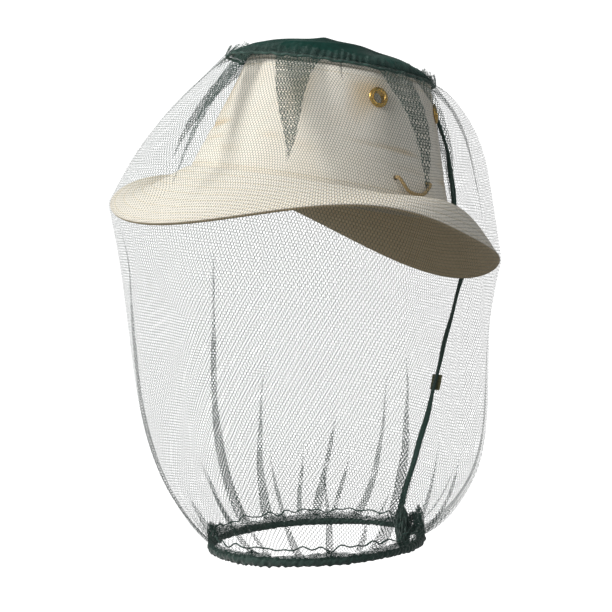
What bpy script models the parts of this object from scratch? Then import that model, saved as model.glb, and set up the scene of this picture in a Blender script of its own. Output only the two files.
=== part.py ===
"""A head net worn over a brimmed canvas sun hat, as separate sewn and turned pieces.

Metres, +Z up. The wearer looks along -Y, and the wearer's left is +X. The origin is the
centre of the hat's head opening, level with the line where the crown meets the brim.
An angle round the head is 0 at the front and 90 degrees at the wearer's left.
"""
import math

import bmesh
import bpy
from mathutils import Matrix, Vector

# Hat crown
HEAD_LENGTH = 0.210            # head opening, front to back, outside the cloth
HEAD_WIDTH = 0.178             # head opening, side to side, outside the cloth
TOP_LENGTH = 0.141             # top seam of the crown, front to back
TOP_WIDTH = 0.137              # top seam of the crown, side to side
CROWN_HEIGHT = 0.088           # from the brim joint up to the top seam
TIP_RISE = 0.017               # how far the crown tip domes above the top seam
CANVAS = 0.0012                # thickness of the canvas
WALL_TURN = 0.0045             # how far the crown wall reaches below the brim joint

# Hat brim
BRIM_FRONT = 0.057             # level reach of the brim beyond the crown, at the front
BRIM_BACK = 0.044
BRIM_SIDE = 0.042
DROP_FRONT = 0.0465            # how far the brim's edge hangs below the joint
DROP_BACK = 0.047
DROP_SIDE = 0.0
SIDE_DIP = 0.006               # hollow of the brim halfway out, at the sides
LEFT_ANGLE = math.radians(104) # where the left side of the brim droops most
LEFT_SPREAD = math.radians(32) # how quickly the droop passes off to both sides
LEFT_DROOP = 0.016             # how much lower the edge hangs there
LEFT_DRAW = 0.004              # how far the edge draws in there
LEFT_ARCH = 0.016              # rise of the brim halfway out, there
BRIM_LAYER = 0.0007            # thickness of each brim layer
JOINT_CLEARANCE = 0.0008       # from the crown wall to the nearest brim layer

# How the hat sits on the head
TIP_BACK = math.radians(7.7)
LEAN_LEFT = math.radians(4.7)

# Sweatband and wind cord
BAND_HEIGHT = 0.034
BAND_THICK = 0.0008
CORD_DIAMETER = 0.0026
CORD_LEVEL = 0.010             # height of the cord behind the sweatband
CORD_HOLE_FRONT = math.radians(86)
CORD_HOLE_BACK = math.radians(106)
CORD_HOLE_LEVEL = 0.014

# Eyelets
EYELET_ANGLES = (math.radians(74), math.radians(131))
EYELET_BELOW_TOP = 0.019       # from the crown's top seam down to an eyelet's middle
EYELET_BORE = 0.0084
EYELET_WALL = 0.0006
EYELET_FLANGE = 0.0150
WASHER_DIAMETER = 0.0136
WASHER_THICK = 0.0006

# Veil
DISC_THICK = 0.0008
DISC_SPREAD = math.radians(76)  # how far the disc wraps over the dome, from its middle
FLARE_ANGLE = math.radians(-41)  # where the disc's rim overhangs the crown most
FLARE_SPREAD = math.radians(50)  # how quickly the overhang passes off to both sides
RIM_FLARE = 0.013              # how far the rim stands out there
RIM_SAG = 0.002                # how far the rim hangs lower there
SEAM_DIAMETER = 0.0050         # gathered seam between the disc and the net
NET_THICK = 0.0010
NET_STAND = 0.0026             # from the brim's edge out to the net
UPPER_BULGE_FRONT = 0.007      # how far the net stands out above the brim
UPPER_BULGE_BACK = 0.018
SKIRT_BULGE_FRONT = 0.020      # and below it
SKIRT_BULGE_BACK = 0.033
SKIRT_LOW = 2.1                # above 1, the skirt is fullest below its middle
SKIRT_FULL = 0.7               # below 1, it stays full close to the hem

# Hem
HEM_RADIUS = 0.0790            # to the middle of the elastic
HEM_DROP = 0.2625              # below the origin
HEM_BACKSET = -0.0045          # where the hem's middle lies front to back
HEM_TILT = math.radians(3.3)   # the front of the hem hangs lower
HEM_HEIGHT = 0.0076
HEM_WIDTH = 0.0062
HEM_CLOTH = 0.0012
ELASTIC_HEIGHT = 0.0050
ELASTIC_THICK = 0.0024

# Net's back seam
SEAM_ANGLE = math.radians(176)
SEAM_PULL = math.radians(22)   # how far to each side the seam pulls the skirt straight
TAPE_WIDTH = 0.0050
TAPE_THICK = 0.0012
LABEL_WIDTH = 0.011
LABEL_HEIGHT = 0.017
LABEL_THICK = 0.0010
LABEL_PLACE = 0.44             # share of the way from the brim's edge to the hem
BUNCH_ANGLE = math.radians(154)  # the seam's gathered end is pulled round to one side
BUNCH_WIDTH = 0.026
BUNCH_DEPTH = 0.013
BUNCH_HEIGHT = 0.034
BUNCH_RISE = 0.003             # how far its middle lies above the hem's

GAP = 0.0003                   # left between pieces that touch
HOLE_CLEARANCE = 0.0005        # from a hole's wall to what passes through it
WASHER_CLEARANCE = 0.0009      # lets a flat washer lie in the hollow of the wall

TAPE_STAND = 3 * GAP           # from the net to the seam tape, clear of the folds it crosses
DISC_OUT = DISC_THICK + 2 * GAP  # from the crown tip to the disc's outer face

AROUND_HAT = 48                # facets round the hat's pieces
AROUND_NET = 45                # facets round the veil's pieces, with a corner at the seam
AROUND_EYELET = 16
DOME_ROWS = (0.0, math.radians(28), math.radians(58))  # shared by the tip and the disc

for old in list(bpy.data.objects):
    bpy.data.objects.remove(old, do_unlink=True)

PARTS = bpy.data.collections.new("head_net_and_hat")
CUTTERS = bpy.data.collections.new("cutters")
bpy.context.scene.collection.children.link(PARTS)
bpy.context.scene.collection.children.link(CUTTERS)


# --- finishes -------------------------------------------------------------------------------

def finish(name, colour, roughness, metallic=0.0):
    """A Principled material with one colour."""
    material = bpy.data.materials.new(name)
    material.use_nodes = True
    shader = material.node_tree.nodes["Principled BSDF"]
    shader.inputs["Base Color"].default_value = (*colour, 1.0)
    shader.inputs["Roughness"].default_value = roughness
    shader.inputs["Metallic"].default_value = metallic
    return material


CANVAS_FINISH = finish("cream_canvas", (0.78, 0.71, 0.57), 0.90)
LINING_FINISH = finish("stiff_interlining", (0.80, 0.79, 0.74), 0.95)
UNDER_FINISH = finish("under_brim_canvas", (0.42, 0.34, 0.22), 0.92)
BAND_FINISH = finish("cotton_sweatband", (0.70, 0.64, 0.52), 0.95)
BRASS_FINISH = finish("brass", (0.72, 0.48, 0.16), 0.28, 1.0)
CORD_FINISH = finish("tan_cord", (0.50, 0.34, 0.14), 0.80)
DISC_FINISH = finish("green_satin", (0.010, 0.055, 0.042), 0.45)
NET_FINISH = finish("green_net", (0.045, 0.110, 0.085), 0.75)
TAPE_FINISH = finish("green_seam", (0.015, 0.060, 0.048), 0.80)
HEM_FINISH = finish("green_hem", (0.008, 0.040, 0.030), 0.85)
ELASTIC_FINISH = finish("woven_elastic", (0.05, 0.06, 0.055), 0.80)
LABEL_FINISH = finish("woven_label", (0.16, 0.15, 0.06), 0.80)


# --- placing and meshing --------------------------------------------------------------------

def empty(name, place, turn):
    """An empty that carries a group of pieces."""
    carrier = bpy.data.objects.new(name, None)
    carrier.location = place
    carrier.rotation_euler = turn
    PARTS.objects.link(carrier)
    return carrier


HAT_POSE = empty("hat_pose", (0, 0, 0), (-TIP_BACK, LEAN_LEFT, 0))
HEM_POSE = empty("hem_pose", (0, HEM_BACKSET, -HEM_DROP), (HEM_TILT, 0, 0))
HAT_TURN = Matrix.Rotation(LEAN_LEFT, 4, "Y") @ Matrix.Rotation(-TIP_BACK, 4, "X")
HEM_TURN = Matrix.Translation((0, HEM_BACKSET, -HEM_DROP)) @ Matrix.Rotation(HEM_TILT, 4, "X")


def add(name, mesh, material, parent=None, collection=PARTS):
    """Link a mesh as a named piece with its own finish."""
    piece = bpy.data.objects.new(name, mesh)
    if material is not None:
        mesh.materials.append(material)
    piece.parent = parent
    collection.objects.link(piece)
    return piece


def mesh_from(name, bm):
    mesh = bpy.data.meshes.new(name)
    bm.to_mesh(mesh)
    bm.free()
    return mesh


def steps(first, last, count):
    """count + 1 evenly spaced values from first to last."""
    return [first + (last - first) * i / count for i in range(count + 1)]


def wrap_mesh(name, point, rows, around, pole=False):
    """A surface wrapped round the head: point(angle, row) gives each corner.

    Rows run from the top or the middle outwards, so the faces look out. With a pole the
    first row is a single corner.
    """
    angles = [math.tau * i / around for i in range(around)]
    corners = []
    faces = []
    first_ring = 0
    if pole:
        corners.append(point(0.0, rows[0]))
        first_ring = 1
    for row in rows[first_ring:]:
        corners.extend(point(angle, row) for angle in angles)
    if pole:
        faces.extend((0, 1 + i, 1 + (i + 1) % around) for i in range(around))
    for ring in range(len(rows) - first_ring - 1):
        start = first_ring + ring * around
        for i in range(around):
            j = (i + 1) % around
            faces.append((start + i, start + around + i, start + around + j, start + j))
    mesh = bpy.data.meshes.new(name)
    mesh.from_pydata([tuple(corner) for corner in corners], [], faces)
    mesh.shade_smooth()
    return mesh


def solidify(piece, thickness, side):
    """Give a surface its thickness: side -1 grows inwards, 0 both ways, 1 outwards."""
    modifier = piece.modifiers.new("thickness", "SOLIDIFY")
    modifier.thickness = thickness
    modifier.offset = side
    modifier.use_even_offset = True
    return piece


def turned(name, profile, around, material, parent):
    """A profile of (radius, height) corners turned round Z. It runs down its outer side."""
    bm = bmesh.new()
    corners = [bm.verts.new((radius, 0.0, height)) for radius, height in profile]
    for i, corner in enumerate(corners):
        bm.edges.new((corner, corners[(i + 1) % len(corners)]))
    piece = add(name, mesh_from(name, bm), material, parent)
    screw = piece.modifiers.new("turn", "SCREW")
    screw.steps = around
    screw.render_steps = around
    screw.use_merge_vertices = True
    screw.merge_threshold = 0.00001
    screw.use_smooth_shade = False
    return piece


def tube(name, points, diameter, material, parent, closed):
    """A round tube along a list of points."""
    curve = bpy.data.curves.new(name, "CURVE")
    curve.dimensions = "3D"
    curve.bevel_depth = diameter / 2
    curve.bevel_resolution = 2
    curve.use_fill_caps = True
    spline = curve.splines.new("POLY")
    spline.points.add(len(points) - 1)
    for knot, point in zip(spline.points, points):
        knot.co = (*point, 1.0)
    spline.use_cyclic_u = closed
    return add(name, curve, material, parent)


def drill(piece, name, place, axis, diameter):
    """Cut a round hole through a piece, along an axis given in the piece's own frame."""
    bm = bmesh.new()
    bmesh.ops.create_cone(bm, cap_ends=True, segments=AROUND_EYELET, radius1=diameter / 2,
                          radius2=diameter / 2, depth=0.012)
    cutter = add(name, mesh_from(name, bm), None, piece.parent, CUTTERS)
    cutter.matrix_local = seat(place, axis)
    cutter.hide_render = True
    cutter.display_type = "WIRE"
    cut = piece.modifiers.new(name, "BOOLEAN")
    cut.operation = "DIFFERENCE"
    cut.solver = "EXACT"
    cut.object = cutter


def seat(place, axis):
    """The matrix that puts an origin at a place with its Z along an axis."""
    return Matrix.Translation(place) @ axis.to_track_quat("Z", "Y").to_matrix().to_4x4()


# --- shared surfaces, in the hat's own frame ------------------------------------------------

def oval(length, width, angle, height):
    """A point on an oval, at an angle round the head."""
    return Vector((width / 2 * math.sin(angle), -length / 2 * math.cos(angle), height))


def wall_point(angle, height, out=0.0):
    """A point on the crown wall's outer face, moved out by a distance."""
    share = height / CROWN_HEIGHT
    length = HEAD_LENGTH + (TOP_LENGTH - HEAD_LENGTH) * share
    width = HEAD_WIDTH + (TOP_WIDTH - HEAD_WIDTH) * share
    place = oval(length, width, angle, height)
    return place + out * wall_out(angle, height) if out else place


def wall_out(angle, height):
    """The crown wall's outward direction."""
    step = 0.001
    round_way = wall_point(angle + step, height) - wall_point(angle - step, height)
    up_way = wall_point(angle, height + step) - wall_point(angle, height - step)
    return round_way.cross(up_way).normalized()


def dome_point(angle, spread, out):
    """A point over the crown tip, on an oval dome grown by a distance."""
    place = oval(TOP_LENGTH + 2 * out, TOP_WIDTH + 2 * out, angle, 0.0) * math.sin(spread)
    place.z = CROWN_HEIGHT + (TIP_RISE + out) * math.cos(spread)
    return place


def disc_point(angle, spread, out):
    """A point over the veil's disc: the dome, drawn out where the rim overhangs the crown."""
    place = dome_point(angle, spread, out)
    away = (angle - FLARE_ANGLE + math.pi) % math.tau - math.pi
    flare = math.exp(-(away / FLARE_SPREAD) ** 2) * (spread / DISC_SPREAD) ** 3
    outward = Vector((math.sin(angle), -math.cos(angle), 0))
    return place + outward * RIM_FLARE * flare - Vector((0, 0, RIM_SAG * flare))


def front_back_side(angle, front, back, side):
    """A value that passes smoothly between its front, back and side values."""
    end = front if math.cos(angle) > 0 else back
    return side + (end - side) * math.cos(angle) ** 2


def left_side(angle):
    """One where the left side of the brim droops most, passing smoothly to nothing."""
    away = (angle - LEFT_ANGLE + math.pi) % (2 * math.pi) - math.pi
    return math.exp(-(away / LEFT_SPREAD) ** 2)


def brim_edge(angle, out=0.0):
    """A point on the brim's outer edge, moved level outwards by a distance."""
    reach = BRIM_FRONT if math.cos(angle) > 0 else BRIM_BACK
    out -= LEFT_DRAW * left_side(angle)
    place = oval(HEAD_LENGTH + 2 * (reach + out), HEAD_WIDTH + 2 * (BRIM_SIDE + out), angle, 0.0)
    place.z = -front_back_side(angle, DROP_FRONT, DROP_BACK, DROP_SIDE)
    place.z -= LEFT_DROOP * left_side(angle)
    return place


def brim_middle(angle, share):
    """A point on the brim's middle layer, from the crown (0) to the edge (1)."""
    stack = 1.5 * BRIM_LAYER + GAP
    inner = wall_point(angle, 0.0, JOINT_CLEARANCE + 1.3 * stack)
    inner.z = 0.0
    place = inner.lerp(brim_edge(angle), share)
    hollow = front_back_side(angle, 0, 0, SIDE_DIP) - LEFT_ARCH * left_side(angle)
    place.z -= hollow * math.sin(math.pi * share)
    return place


def brim_point(angle, share, up):
    """A point a distance above the brim's middle layer, square to it."""
    step = 0.001
    round_way = brim_middle(angle + step, share) - brim_middle(angle - step, share)
    out_way = brim_middle(angle, share + step) - brim_middle(angle, share - step)
    return brim_middle(angle, share) + up * out_way.cross(round_way).normalized()


def seam_ring(angle):
    """The middle of the gathered seam, just outside the rim of the veil's disc."""
    away = Vector((math.sin(angle), -math.cos(angle), 0))
    return disc_point(angle, DISC_SPREAD, DISC_OUT) + away * (SEAM_DIAMETER / 2 + GAP)


def front_to_back(angle, front, back):
    """A value that passes smoothly from its front value round to its back value."""
    return front + (back - front) * (1 - math.cos(angle)) / 2


def net_upper_point(angle, share, out=0.0):
    """A point on the net from the gathered seam (0) to the brim's edge (1)."""
    top = seam_ring(angle) - Vector((0, 0, SEAM_DIAMETER / 2 + GAP + NET_THICK))
    place = top.lerp(brim_edge(angle, NET_STAND), share)
    away = Vector((math.sin(angle), -math.cos(angle), 0.5)).normalized()
    bulge = front_to_back(angle, UPPER_BULGE_FRONT, UPPER_BULGE_BACK)
    return place + away * (bulge * math.sin(math.pi * share) + out)


# --- the skirt, in the world frame ----------------------------------------------------------

def hem_top(angle):
    """The middle of the hem casing's mouth."""
    place = oval(2 * HEM_RADIUS, 2 * HEM_RADIUS, angle, HEM_HEIGHT / 2 + GAP + NET_THICK / 2)
    return HEM_TURN @ place


def skirt_point(angle, share, out=0.0):
    """A point on the net from just below the brim's edge (0) to the hem (1)."""
    top = HAT_TURN @ (brim_edge(angle, NET_STAND) - Vector((0, 0, GAP + NET_THICK)))
    away = Vector((math.sin(angle), -math.cos(angle), 0))
    pull = math.exp(-((angle - SEAM_ANGLE) / SEAM_PULL) ** 2)
    bulge = front_to_back(angle, SKIRT_BULGE_FRONT, SKIRT_BULGE_BACK) * (1 - pull)
    fullness = max(0.0, math.sin(math.pi * share ** SKIRT_LOW)) ** SKIRT_FULL
    return top.lerp(hem_top(angle), share) + away * (bulge * fullness + out)


# --- the hat --------------------------------------------------------------------------------

def make_crown():
    """The crown's wall, with its holes, and the tip that closes it."""
    rows = steps(CROWN_HEIGHT - CANVAS - GAP, -WALL_TURN, 2)
    wall = add("crown_wall", wrap_mesh("crown_wall", lambda angle, height:
                                       wall_point(angle, height), rows, AROUND_HAT),
               CANVAS_FINISH, HAT_POSE)
    solidify(wall, CANVAS, -1)
    tip = add("crown_tip", wrap_mesh("crown_tip", lambda angle, spread:
                                     dome_point(angle, spread, 0.0),
                                     (*DOME_ROWS, math.pi / 2), AROUND_HAT, True),
              CANVAS_FINISH, HAT_POSE)
    solidify(tip, CANVAS, -1)
    return wall


def make_brim():
    """Two canvas layers with a stiff interlining between them."""
    layer_step = BRIM_LAYER + GAP
    layers = (("brim_upper", layer_step, CANVAS_FINISH),
              ("brim_interlining", 0.0, LINING_FINISH),
              ("brim_lower", -layer_step, UNDER_FINISH))
    for name, up, material in layers:
        mesh = wrap_mesh(name, lambda angle, share, up=up: brim_point(angle, share, up),
                         steps(0.0, 1.0, 3), AROUND_HAT)
        solidify(add(name, mesh, material, HAT_POSE), BRIM_LAYER, 0)


def make_sweatband():
    """A cotton band inside the crown, turned out at its foot to meet the wall."""
    behind_cord = -(CANVAS + 3 * GAP + CORD_DIAMETER)
    at_wall = -(CANVAS + 2 * GAP)
    rows = ((BAND_HEIGHT, behind_cord), (CORD_LEVEL - CORD_DIAMETER, behind_cord),
            (-WALL_TURN / 2, at_wall), (-WALL_TURN, at_wall))
    mesh = wrap_mesh("sweatband", lambda angle, row: wall_point(angle, row[0], row[1]),
                     rows, AROUND_HAT)
    solidify(add("sweatband", mesh, BAND_FINISH, HAT_POSE), BAND_THICK, -1)


def make_wind_cord(wall):
    """One loop of cord behind the sweatband, which shows on the brim at each side."""
    inside = -(CANVAS + GAP + CORD_DIAMETER / 2)
    outside = GAP + CORD_DIAMETER
    # the shown stretch at the wearer's left: angle, height and distance out from the wall
    turn = math.radians(6)
    lying = 2 * BRIM_LAYER + 2 * GAP + CORD_DIAMETER
    shown = ((CORD_HOLE_FRONT - turn, CORD_LEVEL, inside),
             (CORD_HOLE_FRONT, CORD_HOLE_LEVEL, inside),
             (CORD_HOLE_FRONT, CORD_HOLE_LEVEL, outside),
             (CORD_HOLE_FRONT + turn * 0.3, CORD_HOLE_LEVEL * 0.72, 1.5 * outside),
             (CORD_HOLE_FRONT + turn * 0.9, lying + GAP, 1.5 * outside),
             (CORD_HOLE_BACK - turn * 1.2, lying, 1.4 * outside),
             (CORD_HOLE_BACK - turn * 0.4, CORD_HOLE_LEVEL * 0.72, 1.4 * outside),
             (CORD_HOLE_BACK, CORD_HOLE_LEVEL, outside),
             (CORD_HOLE_BACK, CORD_HOLE_LEVEL, inside),
             (CORD_HOLE_BACK + turn, CORD_LEVEL, inside))
    left = [wall_point(*place) for place in shown]
    right = [Vector((-place.x, place.y, place.z)) for place in reversed(left)]
    front_sweep = CORD_HOLE_FRONT - turn
    back_sweep = math.pi - CORD_HOLE_BACK - turn
    front = [wall_point(angle, CORD_LEVEL, inside)
             for angle in steps(-front_sweep, front_sweep, 20)[1:-1]]
    back = [wall_point(angle, CORD_LEVEL, inside)
            for angle in steps(math.pi - back_sweep, math.pi + back_sweep, 16)[1:-1]]
    tube("wind_cord", front + left + back + right, CORD_DIAMETER, CORD_FINISH, HAT_POSE, True)
    holes = (CORD_HOLE_FRONT, CORD_HOLE_BACK, -CORD_HOLE_FRONT, -CORD_HOLE_BACK)
    for number, angle in enumerate(holes):
        drill(wall, f"cord_hole_{number}", wall_point(angle, CORD_HOLE_LEVEL),
              wall_out(angle, CORD_HOLE_LEVEL), CORD_DIAMETER + 2 * HOLE_CLEARANCE)


def make_eyelets(wall):
    """Four rolled brass eyelets, each with a washer inside the crown."""
    bore = EYELET_BORE / 2
    barrel = bore + EYELET_WALL
    flange = EYELET_FLANGE / 2
    washer_top = -(CANVAS + WASHER_CLEARANCE)
    washer_foot = washer_top - WASHER_THICK
    roll_foot = washer_foot - GAP
    eyelet = ((bore + 0.3 * EYELET_WALL, GAP + 0.0014), (barrel + 0.0008, GAP + 0.0016),
              (flange - 0.0008, GAP + 0.0010), (flange, GAP + 0.0003), (flange, GAP),
              (barrel, GAP), (barrel, roll_foot), (barrel + 0.0011, roll_foot),
              (barrel + 0.0008, roll_foot - 0.0007), (bore, roll_foot - 0.0007),
              (bore, GAP + 0.0009))
    washer = ((WASHER_DIAMETER / 2, washer_top), (WASHER_DIAMETER / 2, washer_foot),
              (barrel + GAP, washer_foot), (barrel + GAP, washer_top))
    level = CROWN_HEIGHT - EYELET_BELOW_TOP
    for side, sign in (("left", 1), ("right", -1)):
        for place, angle in zip(("front", "back"), EYELET_ANGLES):
            spot = wall_point(sign * angle, level)
            out = wall_out(sign * angle, level)
            for name, profile in (("eyelet", eyelet), ("eyelet_washer", washer)):
                piece = turned(f"{name}_{side}_{place}", profile, AROUND_EYELET, BRASS_FINISH,
                               HAT_POSE)
                piece.matrix_local = seat(spot, out)
            drill(wall, f"eyelet_hole_{side}_{place}", spot, out,
                  2 * (barrel + HOLE_CLEARANCE))


# --- the veil -------------------------------------------------------------------------------

def make_disc():
    """The woven disc over the crown tip, and the gathered seam round it."""
    mesh = wrap_mesh("crown_disc", lambda angle, spread: disc_point(angle, spread, DISC_OUT),
                     (*DOME_ROWS, DISC_SPREAD), AROUND_HAT, True)
    solidify(add("crown_disc", mesh, DISC_FINISH, HAT_POSE), DISC_THICK, -1)
    ring = [seam_ring(math.tau * i / AROUND_HAT) for i in range(AROUND_HAT)]
    tube("crown_seam", ring, SEAM_DIAMETER, TAPE_FINISH, HAT_POSE, True)


def make_net():
    """The net, as the part above the brim's edge and the skirt below it."""
    upper = wrap_mesh("net_upper", net_upper_point, steps(0.0, 1.0, 4), AROUND_NET)
    solidify(add("net_upper", upper, NET_FINISH, HAT_POSE), NET_THICK, 0)
    skirt = wrap_mesh("net_skirt", skirt_point, steps(0.0, 1.0, 6), AROUND_NET)
    solidify(add("net_skirt", skirt, NET_FINISH), NET_THICK, 0)


def tape(name, point, count, parent):
    """A flat tape lying on the outside of the net, down the back seam."""
    out = NET_THICK / 2 + TAPE_STAND + TAPE_THICK / 2
    corners = []
    faces = []
    for share in steps(0.0, 1.0, count):
        middle = point(SEAM_ANGLE, share, out)
        across = Vector((math.cos(SEAM_ANGLE), math.sin(SEAM_ANGLE), 0)) * TAPE_WIDTH / 2
        corners.extend((middle - across, middle + across))
    for i in range(count):
        faces.append((2 * i, 2 * i + 2, 2 * i + 3, 2 * i + 1))
    mesh = bpy.data.meshes.new(name)
    mesh.from_pydata([tuple(corner) for corner in corners], [], faces)
    return solidify(add(name, mesh, TAPE_FINISH, parent), TAPE_THICK, 0)


def make_seam():
    """The back seam's tape and the small label sewn to it."""
    tape("seam_upper", net_upper_point, 6, HAT_POSE)
    tape("seam_lower", skirt_point, 8, None)
    out = NET_THICK / 2 + TAPE_STAND + TAPE_THICK + 2 * GAP + LABEL_THICK / 2
    step = 0.02
    down = skirt_point(SEAM_ANGLE, LABEL_PLACE + step) - skirt_point(SEAM_ANGLE, LABEL_PLACE)
    across = Vector((math.cos(SEAM_ANGLE), math.sin(SEAM_ANGLE), 0))
    away = down.cross(across).normalized()
    frame = Matrix((across, away, -down.normalized())).transposed().to_4x4()
    size = Matrix.Diagonal((LABEL_WIDTH, LABEL_THICK, LABEL_HEIGHT, 1.0))
    bm = bmesh.new()
    bmesh.ops.create_cube(bm, size=1.0, matrix=size)
    label = add("label_tab", mesh_from("label_tab", bm), LABEL_FINISH)
    label.matrix_world = Matrix.Translation(skirt_point(SEAM_ANGLE, LABEL_PLACE, out)) @ frame


def make_hem():
    """The folded hem, open along its top, with its elastic and the gathered seam end."""
    outer = HEM_RADIUS + HEM_WIDTH / 2
    inner = HEM_RADIUS - HEM_WIDTH / 2
    top = HEM_HEIGHT / 2
    floor = -top + HEM_CLOTH
    casing = ((outer, top), (outer, -top), (inner, -top), (inner, top),
              (inner + HEM_CLOTH, top), (inner + HEM_CLOTH, floor),
              (outer - HEM_CLOTH, floor), (outer - HEM_CLOTH, top))
    turned("hem_casing", casing, AROUND_NET, HEM_FINISH, HEM_POSE)
    band_foot = floor + GAP
    band_outer = HEM_RADIUS + ELASTIC_THICK / 2
    band_inner = HEM_RADIUS - ELASTIC_THICK / 2
    band = ((band_outer, band_foot + ELASTIC_HEIGHT), (band_outer, band_foot),
            (band_inner, band_foot), (band_inner, band_foot + ELASTIC_HEIGHT))
    turned("hem_elastic", band, AROUND_NET, ELASTIC_FINISH, HEM_POSE)
    bm = bmesh.new()
    bmesh.ops.create_uvsphere(bm, u_segments=12, v_segments=8, radius=0.5)
    bmesh.ops.scale(bm, vec=(BUNCH_WIDTH, BUNCH_DEPTH, BUNCH_HEIGHT), verts=bm.verts)
    bunch = add("seam_bunch", mesh_from("seam_bunch", bm), HEM_FINISH, HEM_POSE)
    inset = HEM_RADIUS - HEM_WIDTH / 2 - GAP - BUNCH_DEPTH / 2 - BUNCH_WIDTH ** 2 / 8 / HEM_RADIUS
    bunch.location = oval(2 * inset, 2 * inset, BUNCH_ANGLE, BUNCH_RISE)
    bunch.rotation_euler = (0, 0, BUNCH_ANGLE)


crown_wall = make_crown()
make_brim()
make_sweatband()
make_wind_cord(crown_wall)
make_eyelets(crown_wall)
make_disc()
make_net()
make_seam()
make_hem()
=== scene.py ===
# %% [markdown]
# # A head net over a sun hat
# The real object is cloth from top to bottom: a stiff canvas hat, and a loose tube of green net
# that is gathered to a small disc on the crown and to an elastic hem at the neck. Each piece here
# is a surface worked out on a grid, round the head one way and down the cloth the other way. The
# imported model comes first, because every piece has to lie where its solid lies.

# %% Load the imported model
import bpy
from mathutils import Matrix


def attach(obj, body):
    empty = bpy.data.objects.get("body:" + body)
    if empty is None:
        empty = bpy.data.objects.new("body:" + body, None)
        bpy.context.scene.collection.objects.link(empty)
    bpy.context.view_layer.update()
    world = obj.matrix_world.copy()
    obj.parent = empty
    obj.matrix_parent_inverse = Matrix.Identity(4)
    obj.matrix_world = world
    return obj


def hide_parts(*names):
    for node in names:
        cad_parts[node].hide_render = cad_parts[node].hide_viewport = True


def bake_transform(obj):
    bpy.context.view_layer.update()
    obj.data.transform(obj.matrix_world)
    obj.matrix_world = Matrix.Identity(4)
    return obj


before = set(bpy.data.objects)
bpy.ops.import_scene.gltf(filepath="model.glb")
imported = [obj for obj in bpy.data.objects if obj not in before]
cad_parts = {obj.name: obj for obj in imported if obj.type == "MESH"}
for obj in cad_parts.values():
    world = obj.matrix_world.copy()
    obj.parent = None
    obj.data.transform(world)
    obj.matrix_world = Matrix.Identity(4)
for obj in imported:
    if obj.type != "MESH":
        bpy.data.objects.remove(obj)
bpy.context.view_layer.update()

import math

import bmesh
import bpy
import numpy as np
from mathutils import Matrix, Vector

# %% [markdown]
# ## Camera, light and floor
# The camera stands a little above the brim and to the wearer's left, far enough away that the
# hat isn't distorted. It aims at the middle of the object, and slides sideways to frame it. The
# net is thin and dark, so it needs a white surround behind it. A white sky and one broad lamp
# from the upper left keep every shadow soft, and a pale floor lies well below the hem, as if
# the hat stood on a tall stand. In a studio the white surround has lamps of its own and stands
# far back, so it looks bright and yet lights the object little. Here its brightness depends
# on whether a ray comes from the camera.

# %% Camera, light and floor
VIEW_ROUND = math.radians(49.0)
VIEW_UP = math.radians(2.16)
VIEW_DISTANCE = 1.50
VIEW_HEIGHT = -0.0864          # the level the camera aims at
VIEW_SHIFT = -0.0112           # how far the aim lies to the right of the origin
LENS = 117.6                   # millimetres, on a sensor 36 mm wide
FLOOR_LEVEL = -0.60
FLOOR_RADIUS = 30

camera_right = Vector((math.cos(VIEW_ROUND), math.sin(VIEW_ROUND), 0))
camera_back = Vector((math.sin(VIEW_ROUND) * math.cos(VIEW_UP),
                      -math.cos(VIEW_ROUND) * math.cos(VIEW_UP), math.sin(VIEW_UP)))
aim = Vector((0, 0, VIEW_HEIGHT)) + camera_right * VIEW_SHIFT

camera_data = bpy.data.cameras.new("camera")
camera_data.lens = LENS
camera = bpy.data.objects.new("camera", camera_data)
camera.location = aim + camera_back * VIEW_DISTANCE
camera.rotation_euler = camera_back.to_track_quat("Z", "Y").to_euler()
bpy.context.scene.collection.objects.link(camera)
bpy.context.scene.camera = camera
bpy.context.scene.view_settings.view_transform = "Standard"
bpy.context.scene.cycles.transparent_max_bounces = 32  # enough for every fold of net in a row


def soft_lamp(name, place, size, power, colour):
    """A square lamp that faces the middle of the object."""
    data = bpy.data.lights.new(name, "AREA")
    data.size = size
    data.energy = power
    data.color = colour
    lamp = bpy.data.objects.new(name, data)
    lamp.location = place
    lamp.rotation_euler = (Vector(place) - aim).to_track_quat("Z", "Y").to_euler()
    bpy.context.scene.collection.objects.link(lamp)


def seen_from_camera(right, back, up):
    """A place given as seen from the camera: metres to the right, towards it and up."""
    level_back = Vector((math.sin(VIEW_ROUND), -math.cos(VIEW_ROUND), 0))
    return camera_right * right + level_back * back + Vector((0, 0, up))


SURROUND_SEEN = 1.22
SURROUND_LIGHT = 0.31

soft_lamp("key", seen_from_camera(-1.50, 0.95, 1.10), 1.0, 60, (1.0, 0.985, 0.955))
soft_lamp("fill", seen_from_camera(1.3, 1.5, 0.5), 1.2, 7, (0.97, 0.985, 1.0))


def surround(tree, shader):
    """Bright white where the camera sees it, and dim where it lights other things."""
    seen = tree.nodes.new("ShaderNodeLightPath").outputs["Is Camera Ray"]
    level = tree.nodes.new("ShaderNodeMapRange")
    level.inputs["To Min"].default_value = SURROUND_LIGHT
    level.inputs["To Max"].default_value = SURROUND_SEEN
    tree.links.new(seen, level.inputs["Value"])
    shader.inputs["Color"].default_value = (1.0, 1.0, 1.0, 1.0)
    tree.links.new(level.outputs[0], shader.inputs["Strength"])


world = bpy.data.worlds.new("studio")
world.use_nodes = True
surround(world.node_tree, world.node_tree.nodes["Background"])
bpy.context.scene.world = world

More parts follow.
